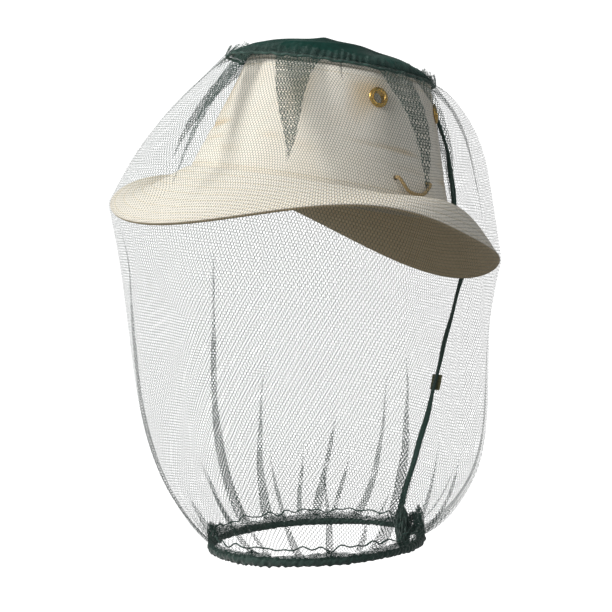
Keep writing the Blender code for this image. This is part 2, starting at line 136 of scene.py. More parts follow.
bpy.ops.mesh.primitive_circle_add(vertices=64, radius=FLOOR_RADIUS, fill_type="NGON",
                                  location=(0, 0, FLOOR_LEVEL))
floor = bpy.context.object
floor.name = "floor"
pale_floor = bpy.data.materials.new("pale_floor")
pale_floor.use_nodes = True
floor_tree = pale_floor.node_tree
glow = floor_tree.nodes.new("ShaderNodeEmission")
surround(floor_tree, glow)
floor_tree.links.new(glow.outputs[0], floor_tree.nodes["Material Output"].inputs["Surface"])
floor.data.materials.append(pale_floor)
print("camera at", [round(x, 3) for x in camera.location])

# %% [markdown]
# ## Materials as expressions
# A material is a recipe of small sums: how far a point is from the nearest thread, how worn an
# edge is. Written as nodes they are hard to read, so one small class wraps a socket, and
# ordinary arithmetic on it adds the Math nodes.

# %% A socket that can be used in arithmetic
class Thread:
    """A socket in a material's tree. Arithmetic on it adds Math nodes."""

    def __init__(self, tree, socket=None):
        self.tree = tree
        self.socket = socket

    def node(self, kind, settings, sockets, out=0):
        """Adds a node: first its settings, then the values or links of its sockets."""
        made = self.tree.nodes.new("ShaderNode" + kind)
        for name, value in settings.items():
            if name == "stops":
                for stop in range(len(value) - 2):
                    made.color_ramp.elements.new(0.5)
                for element, (place, colour) in zip(made.color_ramp.elements, value):
                    element.position = place
                    element.color = (*colour, 1.0)
            else:
                setattr(made, name, value)
        for name, value in sockets.items():
            if isinstance(value, Thread):
                self.tree.links.new(value.socket, made.inputs[name])
            else:
                made.inputs[name].default_value = value
        return Thread(self.tree, made.outputs[out])

    def sum(self, operation, *values):
        return self.node("Math", {"operation": operation}, dict(enumerate(values)))

    def __add__(self, other):
        return self.sum("ADD", self, other)

    def __radd__(self, other):
        return self.sum("ADD", other, self)

    def __sub__(self, other):
        return self.sum("SUBTRACT", self, other)

    def __rsub__(self, other):
        return self.sum("SUBTRACT", other, self)

    def __mul__(self, other):
        return self.sum("MULTIPLY", self, other)

    def __rmul__(self, other):
        return self.sum("MULTIPLY", other, self)

    def __truediv__(self, other):
        return self.sum("DIVIDE", self, other)

    def wrapped(self, length):
        """What is left over after whole lengths."""
        return self.sum("FLOORED_MODULO", self, length)

    def size(self):
        return self.sum("ABSOLUTE", self)

    def sine(self):
        return self.sum("SINE", self)

    def rising(self, low, high):
        """0 below low, 1 above high and a smooth step between them."""
        return self.node("MapRange", {"interpolation_type": "SMOOTHSTEP"},
                         {"Value": self, "From Min": low, "From Max": high})

    def between(self, first, second):
        """A colour that passes from the first to the second as this goes from 0 to 1."""
        first, second = ((*c, 1.0) if isinstance(c, tuple) else c for c in (first, second))
        return self.node("Mix", {"data_type": "RGBA"}, {0: self, 6: first, 7: second}, out=2)


def object_place(start):
    """Where a point lies in the object, in metres."""
    return start.node("TexCoord", {}, {}, out=3)


def cloth_lengths(start):
    """Where a point lies on the flat cloth, then its lengths across and along it, in metres."""
    cloth = start.node("UVMap", {"uv_map": "cloth"}, {})
    across = start.node("SeparateXYZ", {}, {"Vector": cloth})
    return cloth, across, Thread(start.tree, across.socket.node.outputs[1])


def noise(start, coordinates, scale, detail=3.0, rough=0.55, stretch=(1, 1, 1)):
    """Cloudy noise from 0 to 1, with about scale lumps in a metre."""
    spread = start.node("Mapping", {}, {"Vector": coordinates, "Scale": stretch})
    return start.node("TexNoise", {"noise_dimensions": "3D"},
                      {"Vector": spread, "Scale": scale, "Detail": detail, "Roughness": rough})


def material(name, **constants):
    """A new material: its Principled shader with constant sockets set, and a Thread to build on."""
    made = bpy.data.materials.new(name)
    made.use_nodes = True
    shader = made.node_tree.nodes["Principled BSDF"]
    for socket, value in constants.items():
        shader.inputs[socket.replace("_", " ")].default_value = value
    return made, shader, Thread(made.node_tree)


def feed(shader, **sockets):
    """Links results to the shader's sockets."""
    for name, value in sockets.items():
        value.tree.links.new(value.socket, shader.inputs[name.replace("_", " ")])


def bumped(height, distance, strength=1.0):
    """A Bump node over a height that goes from 0 to 1, where 1 stands a distance proud."""
    return height.node("Bump", {}, {"Height": height, "Distance": distance, "Strength": strength})


print("materials are written with", Thread.__name__)

# %% [markdown]
# ## Canvas
# The hat is plain-weave cotton, about 18 threads to the centimetre. Threads pass over and under
# each other like a chessboard, so the height is the larger of two rows of ridges, each of which
# dips where the other is on top, and the colour is darker where the weave is low, which is
# painted shade in its hollows. The pieces carry a UV map in metres, so the weave keeps its real
# size. Slubs are thicker stretches of thread: noise stretched along the weave. An attribute that
# the pieces carry tints the canvas tan: painted shade in creases and hollows and along the
# crown's foot, and real stains and wear here and there on the crown, round the eyelets, at the
# brim's edges and on the sweatband.

# %% Canvas
THREAD_PITCH = 0.00055


def canvas(name, pale, dark, mark, roughness=0.92):
    """Plain weave in a pale colour with a darker one in its hollows, as painted shade, and a tan tint for
    painted shade, stains and wear.
    """
    made, shader, start = material(name, Roughness=roughness, Sheen_Weight=0.25, Sheen_Roughness=0.5)
    shader.inputs["Sheen Tint"].default_value = (1.0, 0.96, 0.88, 1.0)
    shader.inputs["Specular IOR Level"].default_value = 0.25
    cloth, across, along = cloth_lengths(start)
    turn = math.pi / THREAD_PITCH
    weft = (across * turn).sine().size()
    warp = (along * turn).sine().size()
    over = ((across * turn).sine() * (along * turn).sine()).rising(-0.25, 0.25)
    weave = weft * over + warp * (1 - over)
    slub = noise(start, cloth, 260, 2.0, 0.5, (0.12, 1, 1)) + noise(start, cloth, 260, 2.0, 0.5, (1, 0.12, 1))
    cloud = noise(start, object_place(start), 26, 4.0, 0.6)
    handled = start.node("Attribute", {"attribute_name": "handled"}, {}, out=2)
    # Painted shade: the colour is darker where the weave is low. The slubs and clouds are the cloth's own
    # tone.
    base = (weave * 0.35 + slub * 0.32 + cloud * 0.30).rising(0.12, 0.85).between(dark, pale)
    # The tan tint is painted shade in creases, hollows and along the crown's foot, and stains and wear where
    # those are marked.
    tinted = (handled * (0.35 + cloud * 0.9)).rising(0.0, 1.1).between(base, mark)
    feed(shader, Base_Color=tinted, Normal=bumped(weave * 0.5 + slub * 0.6 + cloud * 0.4, 0.00022, 0.7))
    return made


cream_canvas = canvas("cream_canvas", (0.91, 0.865, 0.785), (0.75, 0.685, 0.575), (0.66, 0.49, 0.27))
# The brim's underside is the same cream canvas. Its darker tan colour is painted shade, for the shadow under
# the brim.
shaded_under_canvas = canvas("under_brim_canvas", (0.62, 0.49, 0.31), (0.42, 0.315, 0.185), (0.30, 0.21, 0.11))
stiff_lining = canvas("stiff_interlining", (0.80, 0.79, 0.75), (0.66, 0.65, 0.60), (0.6, 0.55, 0.45))
soft_cotton = canvas("sweatband_cotton", (0.70, 0.64, 0.52), (0.52, 0.46, 0.35), (0.42, 0.32, 0.20))
print("canvas with", round(0.01 / THREAD_PITCH), "threads to the centimetre")

# %% [markdown]
# ## Green net
# Head net is knitted, and its holes are small hexagons. Modelled thread by thread it would need
# millions of faces, so the cloth is a plain surface, and the holes are cut by its transparency.
# Hexagons are the cells round two grids of points, one shifted by half a step from the other. A
# point belongs to the nearer grid point, and how close it is to the cell's edge says if it lies
# on a thread. The threads that run down the cloth are knitted double, so they are a bit wider.

# %% Green net
HOLE_PITCH = 0.00250           # across one hexagon, middle to middle
PLEAT_DARKER = 0.75            # how much thicker the threads show in a pleat
THREAD_BLUR = 0.03             # half the width of a thread's soft edge, as a share of the pitch
HEX_ROW = math.sqrt(3)


def hexagon_edge(x, y):
    """How near a point is to its hexagon's side edges and to its slanting ones.

    Both values go from 0 in the middle to 0.5 on the edge, and x and y count hexagons.
    """
    near_x, near_y = x.wrapped(1.0) - 0.5, y.wrapped(HEX_ROW) - HEX_ROW / 2
    far_x, far_y = (x + 0.5).wrapped(1.0) - 0.5, (y + HEX_ROW / 2).wrapped(HEX_ROW) - HEX_ROW / 2
    nearer = x.sum("LESS_THAN", near_x * near_x + near_y * near_y, far_x * far_x + far_y * far_y)
    cell_x = (near_x * nearer + far_x * (1 - nearer)).size()
    cell_y = (near_y * nearer + far_y * (1 - nearer)).size()
    return cell_x, cell_x * 0.5 + cell_y * (HEX_ROW / 2)


def netting(name, pitch, side_thread, slant_thread, pale, dark, cover=None):
    """Knitted net: dark threads round clear hexagons. Thread widths are shares of the pitch.

    Where the cloth is pleated its holes are pulled narrow, which shows as thicker threads.
    """
    made, shader, start = material(name, Roughness=0.65, Sheen_Weight=0.12)
    shader.inputs["Specular IOR Level"].default_value = 0.35
    cloth, across, along = cloth_lengths(start)
    side, slant = hexagon_edge(across / pitch, along / pitch)
    pleated = start.node("Attribute", {"attribute_name": "handled"}, {}, out=2)
    side_edge = 0.5 - side_thread / 2 * (1 + pleated * PLEAT_DARKER)
    slant_edge = 0.5 - slant_thread / 2 * (1 + pleated * PLEAT_DARKER)
    on_side = side.rising(side_edge - THREAD_BLUR, side_edge + THREAD_BLUR)
    on_slant = slant.rising(slant_edge - THREAD_BLUR, slant_edge + THREAD_BLUR)
    mask = start.sum("MAXIMUM", on_side, on_slant)
    if cover is not None:
        mask = start.sum("MAXIMUM", mask, cover(start, cloth))
    colour = noise(start, cloth, 900, 2.0).between(dark, pale)
    feed(shader, Base_Color=colour, Alpha=mask)
    return made


green_net = netting("green_net", HOLE_PITCH, 0.140, 0.095, (0.016, 0.052, 0.040), (0.006, 0.026, 0.020))
print("net holes", HOLE_PITCH * 1000, "mm across")

# %% [markdown]
# ## The shape of the hat
# The crown is an oval that narrows from the head opening to the top seam, and the brim spreads
# from the crown to a wavy edge that hangs low in front and behind, and droops at the wearer's
# left. Every surface is a function of an angle round the head (0 in front, a quarter turn at the
# wearer's left) and of a second value down the cloth. The hat is shaped level, and turned as it
# sits on the head at the end.

# %% Sizes and shared shapes of the hat
HEAD_LENGTH, HEAD_WIDTH = 0.210, 0.178
TOP_LENGTH, TOP_WIDTH = 0.141, 0.137
CROWN_HEIGHT = 0.088
TIP_RISE = 0.017
CANVAS = 0.0012
WALL_TURN = 0.0045
BRIM_FRONT, BRIM_BACK, BRIM_SIDE = 0.057, 0.044, 0.042
DROP_FRONT, DROP_BACK = 0.0465, 0.047
SIDE_DIP = 0.006
LEFT_ANGLE, LEFT_SPREAD = math.radians(104), math.radians(32)
LEFT_DROOP, LEFT_DRAW, LEFT_ARCH = 0.016, 0.004, 0.016
BRIM_LAYER = 0.0007
JOINT_CLEARANCE = 0.0008
GAP = 0.0003
BRIM_STACK = 1.5 * BRIM_LAYER + GAP  # from the middle of the brim to its outer faces
TIP_BACK = math.radians(7.7)
LEAN_LEFT = math.radians(4.7)

HAT_TURN = np.array(Matrix.Rotation(LEAN_LEFT, 3, "Y") @ Matrix.Rotation(-TIP_BACK, 3, "X"))


def worn(points):
    """Points of the level hat, turned as it sits on the head."""
    return points @ HAT_TURN.T


def away_round(angle, centre):
    """How far round an angle lies from another, the short way, in radians."""
    return (angle - centre + math.pi) % (2 * math.pi) - math.pi


def bell(distance, width):
    """One at no distance, falling smoothly to both sides like a bell curve."""
    return np.exp(-(distance / width) ** 2)


def oval(length, width, angle, height):
    """Half the width times the angle's sine, minus half the length times its cosine, and a height."""
    return np.stack(np.broadcast_arrays(width / 2 * np.sin(angle), -length / 2 * np.cos(angle),
                                        height), -1)


def away_from_head(angle, rise=0.0):
    """The level direction out from the head, or one that rises as well, of length one."""
    out = np.stack(np.broadcast_arrays(np.sin(angle), -np.cos(angle), rise), -1)
    return out / np.linalg.norm(out, axis=-1, keepdims=True)


def square_to(shape, first, second, step=0.001):
    """The direction square to a surface: the cross product of its slopes along both values."""
    one = shape(first + step, second) - shape(first - step, second)
    other = shape(first, second + step) - shape(first, second - step)
    normal = np.cross(one, other)
    return normal / np.linalg.norm(normal, axis=-1, keepdims=True)


def wall_face(angle, height):
    """The crown wall's outer face: an oval whose length and width shrink evenly with height."""
    share = height / CROWN_HEIGHT
    return oval(HEAD_LENGTH + (TOP_LENGTH - HEAD_LENGTH) * share,
                HEAD_WIDTH + (TOP_WIDTH - HEAD_WIDTH) * share, angle, height)


def wall_point(angle, height, out=0.0):
    """A point a distance out from the crown wall's face."""
    out = np.asarray(out)[..., None]
    return wall_face(angle, height) + out * square_to(wall_face, angle, height)


def dome_point(angle, spread, out):
    """A half ellipsoid over the crown: the spread is the angle down from its top."""
    ring = oval(TOP_LENGTH + 2 * out, TOP_WIDTH + 2 * out, angle, 0.0) * np.sin(spread)[..., None]
    ring[..., 2] += CROWN_HEIGHT + (TIP_RISE + out) * np.cos(spread)
    return ring


def front_back_side(angle, front, back, side):
    """The side value, plus the cosine squared of the way from it to the front or back value."""
    end = np.where(np.cos(angle) > 0, front, back)
    return side + (end - side) * np.cos(angle) ** 2


def left_side(angle):
    """One where the brim droops most, falling like a bell curve to both sides."""
    return bell(away_round(angle, LEFT_ANGLE), LEFT_SPREAD)


def brim_edge(angle, out=0.0):
    """The brim's outer edge, moved level outwards by a distance."""
    reach = np.where(np.cos(angle) > 0, BRIM_FRONT, BRIM_BACK)
    out = out - LEFT_DRAW * left_side(angle)
    drop = front_back_side(angle, DROP_FRONT, DROP_BACK, 0.0) + LEFT_DROOP * left_side(angle)
    return oval(HEAD_LENGTH + 2 * (reach + out), HEAD_WIDTH + 2 * (BRIM_SIDE + out), angle, -drop)


def brim_middle(angle, share):
    """The brim's middle layer: from the crown to the edge, hollow at the right side, arched at the left."""
    inner = wall_point(angle, np.zeros_like(angle), JOINT_CLEARANCE + 1.3 * BRIM_STACK)
    inner[..., 2] = 0.0
    place = inner + (brim_edge(angle) - inner) * share[..., None]
    hollow = front_back_side(angle, 0, 0, SIDE_DIP) - LEFT_ARCH * left_side(angle)
    place[..., 2] -= hollow * np.sin(math.pi * share)
    return place


def brim_point(angle, share, up):
    """A point a distance above the brim's middle layer, square to it."""
    return brim_middle(angle, share) - up[..., None] * square_to(brim_middle, angle, share)


def grid_of(rows, columns):
    """Two grids: one value for each row and an angle for each column, once round the head."""
    angles = np.arange(columns) * (2 * math.pi / columns)
    return np.meshgrid(rows, angles, indexing="ij")


rim = worn(brim_edge(np.linspace(0, 2 * math.pi, 181)))
print("brim edge is", round(float(np.linalg.norm(np.diff(rim, axis=0), axis=1).sum()), 3), "m round")

# %% [markdown]
# ## From grids to meshes
# A grid of points becomes a mesh with one face between every four neighbours. Rows run down the
# cloth and columns run round the head, so the faces look outwards. Each corner of a face gets its
# own place on the flat cloth, in metres. That is the UV map, and it can end and start again at
# the back without a jump.

# %% Mesh helpers
TURN_OVER = (0, 3, 2, 1)


def flat_cloth(points, wrap=True):
    """Where each point lies on the flat cloth: the lengths along its row and down its column."""
    closed = np.concatenate((points, points[:, :1]), 1) if wrap else points
    along = np.linalg.norm(np.diff(closed, axis=1), axis=-1)
    widest = np.concatenate(([0.0], along.max(axis=0).cumsum()))
    down = np.linalg.norm(np.diff(closed, axis=0), axis=-1)
    depth = np.concatenate((np.zeros((1, closed.shape[1])), down.cumsum(axis=0)))
    return np.stack(np.broadcast_arrays(widest[None, :], depth), -1)


def sheet_mesh(name, points, finish, cloth=None, wrap=True, pole=False, marks=None, keep=None,
               inside_out=False):
    """A surface through a grid of points. With a pole, its first row is a single point."""
    rows, columns = points.shape[:2]
    number = np.arange(rows * columns).reshape(rows, columns)
    if wrap:
        number = np.concatenate((number, number[:, :1]), 1)
    corners = np.stack((number[:-1, :-1], number[1:, :-1], number[1:, 1:], number[:-1, 1:]), -1)
    cloth = flat_cloth(points, wrap) if cloth is None else cloth
    places = np.stack((cloth[:-1, :-1], cloth[1:, :-1], cloth[1:, 1:], cloth[:-1, 1:]), 2)
    if inside_out:
        corners, places = corners[..., TURN_OVER], places[:, :, TURN_OVER]
    if keep is not None:
        corners, places = corners[keep], places[keep]
    corners, places = corners.reshape(-1, 4), places.reshape(-1, 4, 2)
    mesh = bpy.data.meshes.new(name)
    mesh.from_pydata(points.reshape(-1, 3), [], corners.tolist())
    mesh.uv_layers.new(name="cloth").data.foreach_set("uv", places.ravel())
    if marks is not None:
        mesh.attributes.new("handled", "FLOAT", "POINT").data.foreach_set("value", marks.ravel())
    if pole or keep is not None:
        weld(mesh, pole)
    return shown(name, mesh, finish)


def shown(name, mesh, finish):
    """Puts a mesh in the scene, shaded smooth and with its finish."""
    mesh.shade_smooth()
    mesh.materials.append(finish)
    piece = bpy.data.objects.new(name, mesh)
    bpy.context.scene.collection.objects.link(piece)
    return piece


def weld(mesh, pole):
    """Joins the corners that meet at a pole, and drops the ones that no face uses."""
    bm = bmesh.new()
    bm.from_mesh(mesh)
    if pole:
        bmesh.ops.remove_doubles(bm, verts=bm.verts, dist=1e-6)
    bmesh.ops.delete(bm, geom=[v for v in bm.verts if not v.link_faces], context="VERTS")
    bm.to_mesh(mesh)
    bm.free()


def thicken(piece, thickness, side):
    """Gives cloth its thickness: side -1 grows behind the face, 0 both ways and 1 in front."""
    wall = piece.modifiers.new("thickness", "SOLIDIFY")
    wall.thickness = thickness
    wall.offset = side
    wall.use_even_offset = True
    return piece


def place_piece(piece, body, slot, *nodes):
    """Says what a piece rides on and which solids it stands for. Its slot is not used."""
    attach(piece, body)
    if nodes:
        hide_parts(*nodes)
    return piece


def ripple(first, second, waves):
    """A sum of sine waves over two values. Each wave is a height, two counts and a start."""
    return sum(height * np.sin(across * first + along * second + start)
               for height, across, along, start in waves)


def seeded_waves(seed, count, height, most_across, most_along):
    """Waves with seeded counts and starts, lower the faster they go."""
    pick = np.random.default_rng(seed)
    across = pick.integers(1, most_across + 1, count)
    along = pick.uniform(-most_along, most_along, count)
    return [(height / (1 + 0.25 * a), a, b, s)
            for a, b, s in zip(across, along, pick.uniform(0, 2 * math.pi, count))]


print("a grid of 10 by 20 points makes", 9 * 20, "faces round the head")

# %% [markdown]
# ## The crown
# The wall is a band of canvas that narrows upwards, and a domed tip is sewn on top. Worn canvas
# isn't smooth: it has low vertical ridges, and two soft creases run
# round it. The wall also has real holes for the eyelets and for the wind cord. Cutting them with
# a Boolean would tear up the neat grid, so a small block of faces is left out instead, and the
# rows of points round it are drawn in to a circle.

# %% Sizes of the crown wall
EYELET_ANGLES = (74, 131)
EYELET_LEVEL = CROWN_HEIGHT - 0.019
EYELET_BORE = 0.0084
EYELET_WALL = 0.0006
CORD_DIAMETER = 0.0026
CORD_HOLE_ANGLES = (86, 106)
CORD_HOLE_LEVEL = 0.014
HOLE_CLEARANCE = 0.0005
WALL_COLUMNS = 360             # one for each degree, so that every hole is centred on a point
WALL_STEP = 0.00125
HOLE_FADE = 4                  # points out from a hole's edge that still share its move
print("the wall has a point every", WALL_STEP * 1000, "mm")

# %% Room for round holes
def open_holes(angles, levels, holes):
    """Moves a grid's angles and levels to make room for round holes, and marks the faces to keep.

    A hole is its column, row, half width in faces, radius and the length of a column's step.
    Points on the block's edge go to the circle, and the next few further out share the move.
    """
    row, column = np.meshgrid(*map(np.arange, angles.shape), indexing="ij")
    keep = np.ones((angles.shape[0] - 1, angles.shape[1]), bool)
    for centre, middle, half, radius, step in holes:
        over = (column - centre + WALL_COLUMNS // 2) % WALL_COLUMNS - WALL_COLUMNS // 2
        down = row - middle
        ring = np.maximum(abs(over), abs(down))
        across, along = over * step, -down * WALL_STEP
        length = np.hypot(across, along) + 1e-9
        wanted = radius + (ring - half) * WALL_STEP
        share = np.clip(1 - (ring - half) / HOLE_FADE, 0, 1) * (ring >= half)
        move = share * (wanted / length - 1)
        angles = angles + across * move / step * (2 * math.pi / WALL_COLUMNS)
        levels = levels + along * move
        inside = (over[:-1] >= -half) & (over[:-1] < half) & (down[:-1] >= -half) & (down[:-1] < half)
        keep &= ~inside
    return angles, levels, keep


def column_step(level):
    """The length of one degree of the wall at a level, taken at the sides."""
    share = level / CROWN_HEIGHT
    length = HEAD_LENGTH + (TOP_LENGTH - HEAD_LENGTH) * share
    return length / 2 * math.radians(1)


wall_rows = np.arange(CROWN_HEIGHT - CANVAS - GAP, -WALL_TURN, -WALL_STEP)
eyelet_row = int(np.argmin(abs(wall_rows - EYELET_LEVEL)))
shift = np.sin(math.pi * np.arange(len(wall_rows)) / (len(wall_rows) - 1))
wall_rows = wall_rows + (EYELET_LEVEL - wall_rows[eyelet_row]) * shift / shift[eyelet_row]
cord_row = int(np.argmin(abs(wall_rows - CORD_HOLE_LEVEL)))
hole_kinds = ((EYELET_ANGLES, eyelet_row, 4, EYELET_BORE / 2 + EYELET_WALL + HOLE_CLEARANCE, EYELET_LEVEL),
              (CORD_HOLE_ANGLES, cord_row, 1, CORD_DIAMETER / 2 + HOLE_CLEARANCE, CORD_HOLE_LEVEL))
holes = [(side * angle, row, half, radius, column_step(level))
         for side in (1, -1) for pair, row, half, radius, level in hole_kinds for angle in pair]
print(len(holes), "holes in the wall")

# %% [markdown]
# ## Creases, stains and painted shade on the crown
# The canvas is old. Low ridges run up it, two soft creases wander round it, and it is tinted
# tan: painted shade in the hollows of the ridges and creases and along the foot, and real stains
# round the eyelets and here and there. The ridges are slow waves added together. A crease or a
# mark is a bell curve, because both fade evenly to their sides. Round a hole the cloth is held
# flat by the metal, so the relief fades out there.

# %% Creases, stains and painted shade
CREASES = ((0.036, 0.0011, 0.0030), (0.024, 0.0007, 0.0026))  # level, depth and half height
RIDGES = seeded_waves(5, 9, 0.00042, 13, 70)
CALM_ROUND, CALM_HIGH = 0.16, 0.011  # how far the canvas lies flat round a hole: radians, metres
# A mark is its angle, level, half width in radians, half height and strength.
EYELET_MARKS = tuple((side * angle, EYELET_LEVEL, 0.17, 0.011, 0.50)
                     for side in (1, -1) for angle in EYELET_ANGLES)
WORN_MARKS = ((24, 0.030, 0.14, 0.0035, 0.35), (2, 0.017, 0.22, 0.0035, 0.32),
              (58, 0.050, 0.25, 0.010, 0.22), (40, 0.026, 0.20, 0.005, 0.22),
              (66, 0.022, 0.10, 0.006, 0.22), (-30, 0.030, 0.2, 0.005, 0.25))


def wall_relief(angle, level):
    """How far the worn canvas stands out: ridges and creases that fade at the seams."""
    ridges = ripple(angle, level, RIDGES)
    creases = 0.0
    for crease_level, depth, half in CREASES:
        wander = crease_level + 0.004 * np.sin(2 * angle + 1.0) + 0.0015 * np.sin(5 * angle)
        present = 0.5 + 0.5 * np.sin(3 * angle + 90 * crease_level)
        creases = creases - depth * present * bell(level - wander, half)
    fade = np.clip(level / 0.012, 0, 1) * np.clip((CROWN_HEIGHT - level) / 0.012, 0, 1)
    return (ridges + creases) * fade


def stains_and_shade_on_wall(angle, level):
    """How much the crown wall is tinted: painted shade where it dips in and along its foot, and real stains
    here and there and round the eyelets.
    """
    # Painted shade in the hollows of the ridges and creases, where the canvas dips in.
    relief = np.clip(-wall_relief(angle, level) / 0.0011, 0, 1)
    # Painted shade along the foot, where the crown meets the brim.
    foot = bell(level, 0.006) * 0.35
    worn_spots = 0.0
    for place, height, wide, tall, much in EYELET_MARKS + WORN_MARKS:
        over = away_round(angle, math.radians(place))
        worn_spots = worn_spots + much * bell(over, wide) * bell(level - height, tall)
    return np.clip(relief * 0.8 + foot + worn_spots, 0, 1)


print(len(RIDGES), "ridges,", len(CREASES), "creases and", len(EYELET_MARKS + WORN_MARKS), "marks")

# %% The crown wall
levels, angles = grid_of(wall_rows, WALL_COLUMNS)
angles, levels, kept_faces = open_holes(angles, levels, holes)
relief = wall_relief(angles, levels)
near_hole = np.zeros_like(relief)
for centre, middle, *_ in holes:
    over = away_round(angles, math.radians(centre))
    calm = bell(over, CALM_ROUND) * bell(levels - wall_rows[middle], CALM_HIGH)
    near_hole = np.maximum(near_hole, calm)
relief *= 1 - near_hole
wall = sheet_mesh("crown_wall_canvas", worn(wall_point(angles, levels, relief)), cream_canvas,
                  cloth=flat_cloth(wall_point(angles, levels)), marks=stains_and_shade_on_wall(angles, levels),
                  keep=kept_faces)
thicken(wall, CANVAS, -1)
place_piece(wall, "hat", "canvas", "crown_wall")
print("crown wall has", len(wall.data.polygons), "faces and", len(holes), "holes")

# %% Crown tip
spreads, angles = grid_of(np.linspace(0.0, math.pi / 2, 40), 192)
# The tip's tan tint grows from none at its top to most at its rim.
tip = sheet_mesh("crown_tip_canvas", worn(dome_point(angles, spreads, 0.0)), cream_canvas, pole=True,
                 marks=0.15 * np.sin(spreads))
thicken(tip, CANVAS, -1)
place_piece(tip, "hat", "canvas", "crown_tip")
print("crown tip", [round(x, 3) for x in tip.dimensions])

# %% [markdown]
# ## The brim
# The brim is a sandwich: cream canvas above, the same canvas below coloured darker tan as
# painted shade, and a stiff interlining between them that only shows where the layers part. At
# the rim both layers are turned in, so the rim is round like a bead. Rows of stitching run round
# it and pull the cloth in a little, which gives the faint ribs of a real sewn brim.

# %% Brim
STITCH_ROWS = 8
FIRST_ROW, LAST_ROW = 0.10, 0.955
BRIM_COLUMNS = 480
FLAT_ROWS, TURN_ROWS = 61, 7
RIM_TURN = math.pi / 2 * 0.94  # just short of a quarter circle, so the two layers don't meet
RIB_DEPTH, RIB_WIDTH = 0.00022, 0.16
stitch_shares = np.linspace(FIRST_ROW, LAST_ROW, STITCH_ROWS)


def brim_relief(share):
    """How far the cloth is pulled in along each row of stitches: a bell curve across the row."""
    place = (share - FIRST_ROW) / (LAST_ROW - FIRST_ROW) * (STITCH_ROWS - 1)
    return -RIB_DEPTH * bell(place - np.round(place), RIB_WIDTH) * (share > 0.05) * (share < 0.99)


def brim_layer(name, side, finish, slot, node):
    """One face of the brim: up the middle layer's normal, then a quarter circle round the rim."""
    rows = np.concatenate((np.linspace(0.0, 1.0, FLAT_ROWS), np.ones(TURN_ROWS)))
    shares, angles = grid_of(rows, BRIM_COLUMNS)
    turns = np.concatenate((np.zeros(FLAT_ROWS), np.linspace(0.0, RIM_TURN, TURN_ROWS + 1)[1:]))[:, None]
    height = side * (BRIM_STACK * np.cos(turns) + brim_relief(shares))
    points = brim_point(angles, shares, height)
    points = points + away_from_head(angles) * (BRIM_STACK * np.sin(turns))[..., None]
    edge_wear = np.clip((shares - 0.965) / 0.035, 0, 1) * 0.30 + 0.10 * (shares < 0.03)
    piece = sheet_mesh(name, worn(points), finish, marks=edge_wear, inside_out=side < 0)
    thicken(piece, BRIM_LAYER, -1)
    return place_piece(piece, "hat", slot, node)


upper = brim_layer("brim_upper_canvas", 1, cream_canvas, "canvas", "brim_upper")
lower = brim_layer("brim_lower_canvas", -1, shaded_under_canvas, "under_canvas", "brim_lower")
shares, angles = grid_of(np.linspace(0.0, 1.0, 24), 240)
stiffener = sheet_mesh("brim_stiffener", worn(brim_middle(angles, shares)), stiff_lining)
thicken(stiffener, BRIM_LAYER, 0)
place_piece(stiffener, "hat", "interlining", "brim_interlining")
print("brim rim", round(max(v.co.z for v in upper.data.vertices), 4), "m at its highest")

# %% [markdown]
# ## Stitches
# A stitch is a short length of thread that dips into the cloth at both ends. There are thousands,
# so each one has few faces: a ring of six corners at four places along it. One function lays a
# row of them along any line, and each group of rows becomes one piece.

# %% Stitches
THREAD_WIDTH = 0.00042
STITCH_LENGTH = 0.0030
STITCH_SIDES = 6
STITCH_RINGS = ((0.0, -0.55), (0.22, 0.30), (0.78, 0.30), (1.0, -0.55))  # share of its length, and rise
FOOT_ROW, TOP_ROW = 0.0045, 0.006  # from the wall's foot and top to its stitches


def along_line(values, run, spots):
    """Values given at the points of a line, read at other lengths along it."""
    return np.stack([np.interp(spots, run, values[:, i]) for i in range(3)], -1)


def stitched(name, lines, finish, thread=THREAD_WIDTH, length=STITCH_LENGTH, filled=0.74):
    """Short threads along lines of points, each with the cloth's outward direction at its points."""
    corners = []
    profile = np.linspace(0, 2 * math.pi, STITCH_SIDES, endpoint=False)
    for points, outs in lines:
        steps = np.linalg.norm(np.diff(points, axis=0), axis=1)
        run = np.concatenate(([0.0], steps.cumsum()))
        starts = np.arange(0.0, run[-1] - length * filled, length)
        rings = []
        for share, rise in STITCH_RINGS:
            spots = starts + share * length * filled
            place, out = along_line(points, run, spots), along_line(outs, run, spots)
            side = np.cross(along_line(points, run, spots + 1e-4) - place, out)
            side /= np.linalg.norm(side, axis=-1, keepdims=True)
            across = np.cos(profile)[None, :, None] * side[:, None] * 0.5
            up = (np.sin(profile)[None, :, None] * 0.5 + rise) * out[:, None]
            rings.append(place[:, None] + (across + up) * thread)
        corners.append(np.stack(rings, 1).reshape(-1, 3))
    corners = np.concatenate(corners)
    here = np.arange(STITCH_SIDES)
    after = (here + 1) % STITCH_SIDES
    band = np.stack((here, after, after + STITCH_SIDES, here + STITCH_SIDES), -1)
    one = np.concatenate([band + STITCH_SIDES * ring for ring in range(len(STITCH_RINGS) - 1)])
    firsts = np.arange(0, len(corners), STITCH_SIDES * len(STITCH_RINGS))
    mesh = bpy.data.meshes.new(name)
    mesh.from_pydata(corners, [], (one + firsts[:, None, None]).reshape(-1, 4).tolist())
    return shown(name, mesh, finish)


def sewing_thread(name, pale, dark):
    """Twisted thread: fine cloudy light and dark."""
    made, shader, start = material(name, Roughness=0.7, Sheen_Weight=0.2)
    feed(shader, Base_Color=noise(start, object_place(start), 700, 2.0).between(dark, pale))
    return made


tan_thread = sewing_thread("tan_thread", (0.80, 0.70, 0.50), (0.58, 0.47, 0.29))
green_thread = sewing_thread("green_thread", (0.020, 0.075, 0.058), (0.006, 0.030, 0.023))


def ring_line(shape, columns=720):
    """A closed line of points on a surface, and the surface's outward directions along it."""
    angles = np.linspace(0, 2 * math.pi, columns + 1)
    points, outs = shape(angles)
    return worn(points), worn(outs)


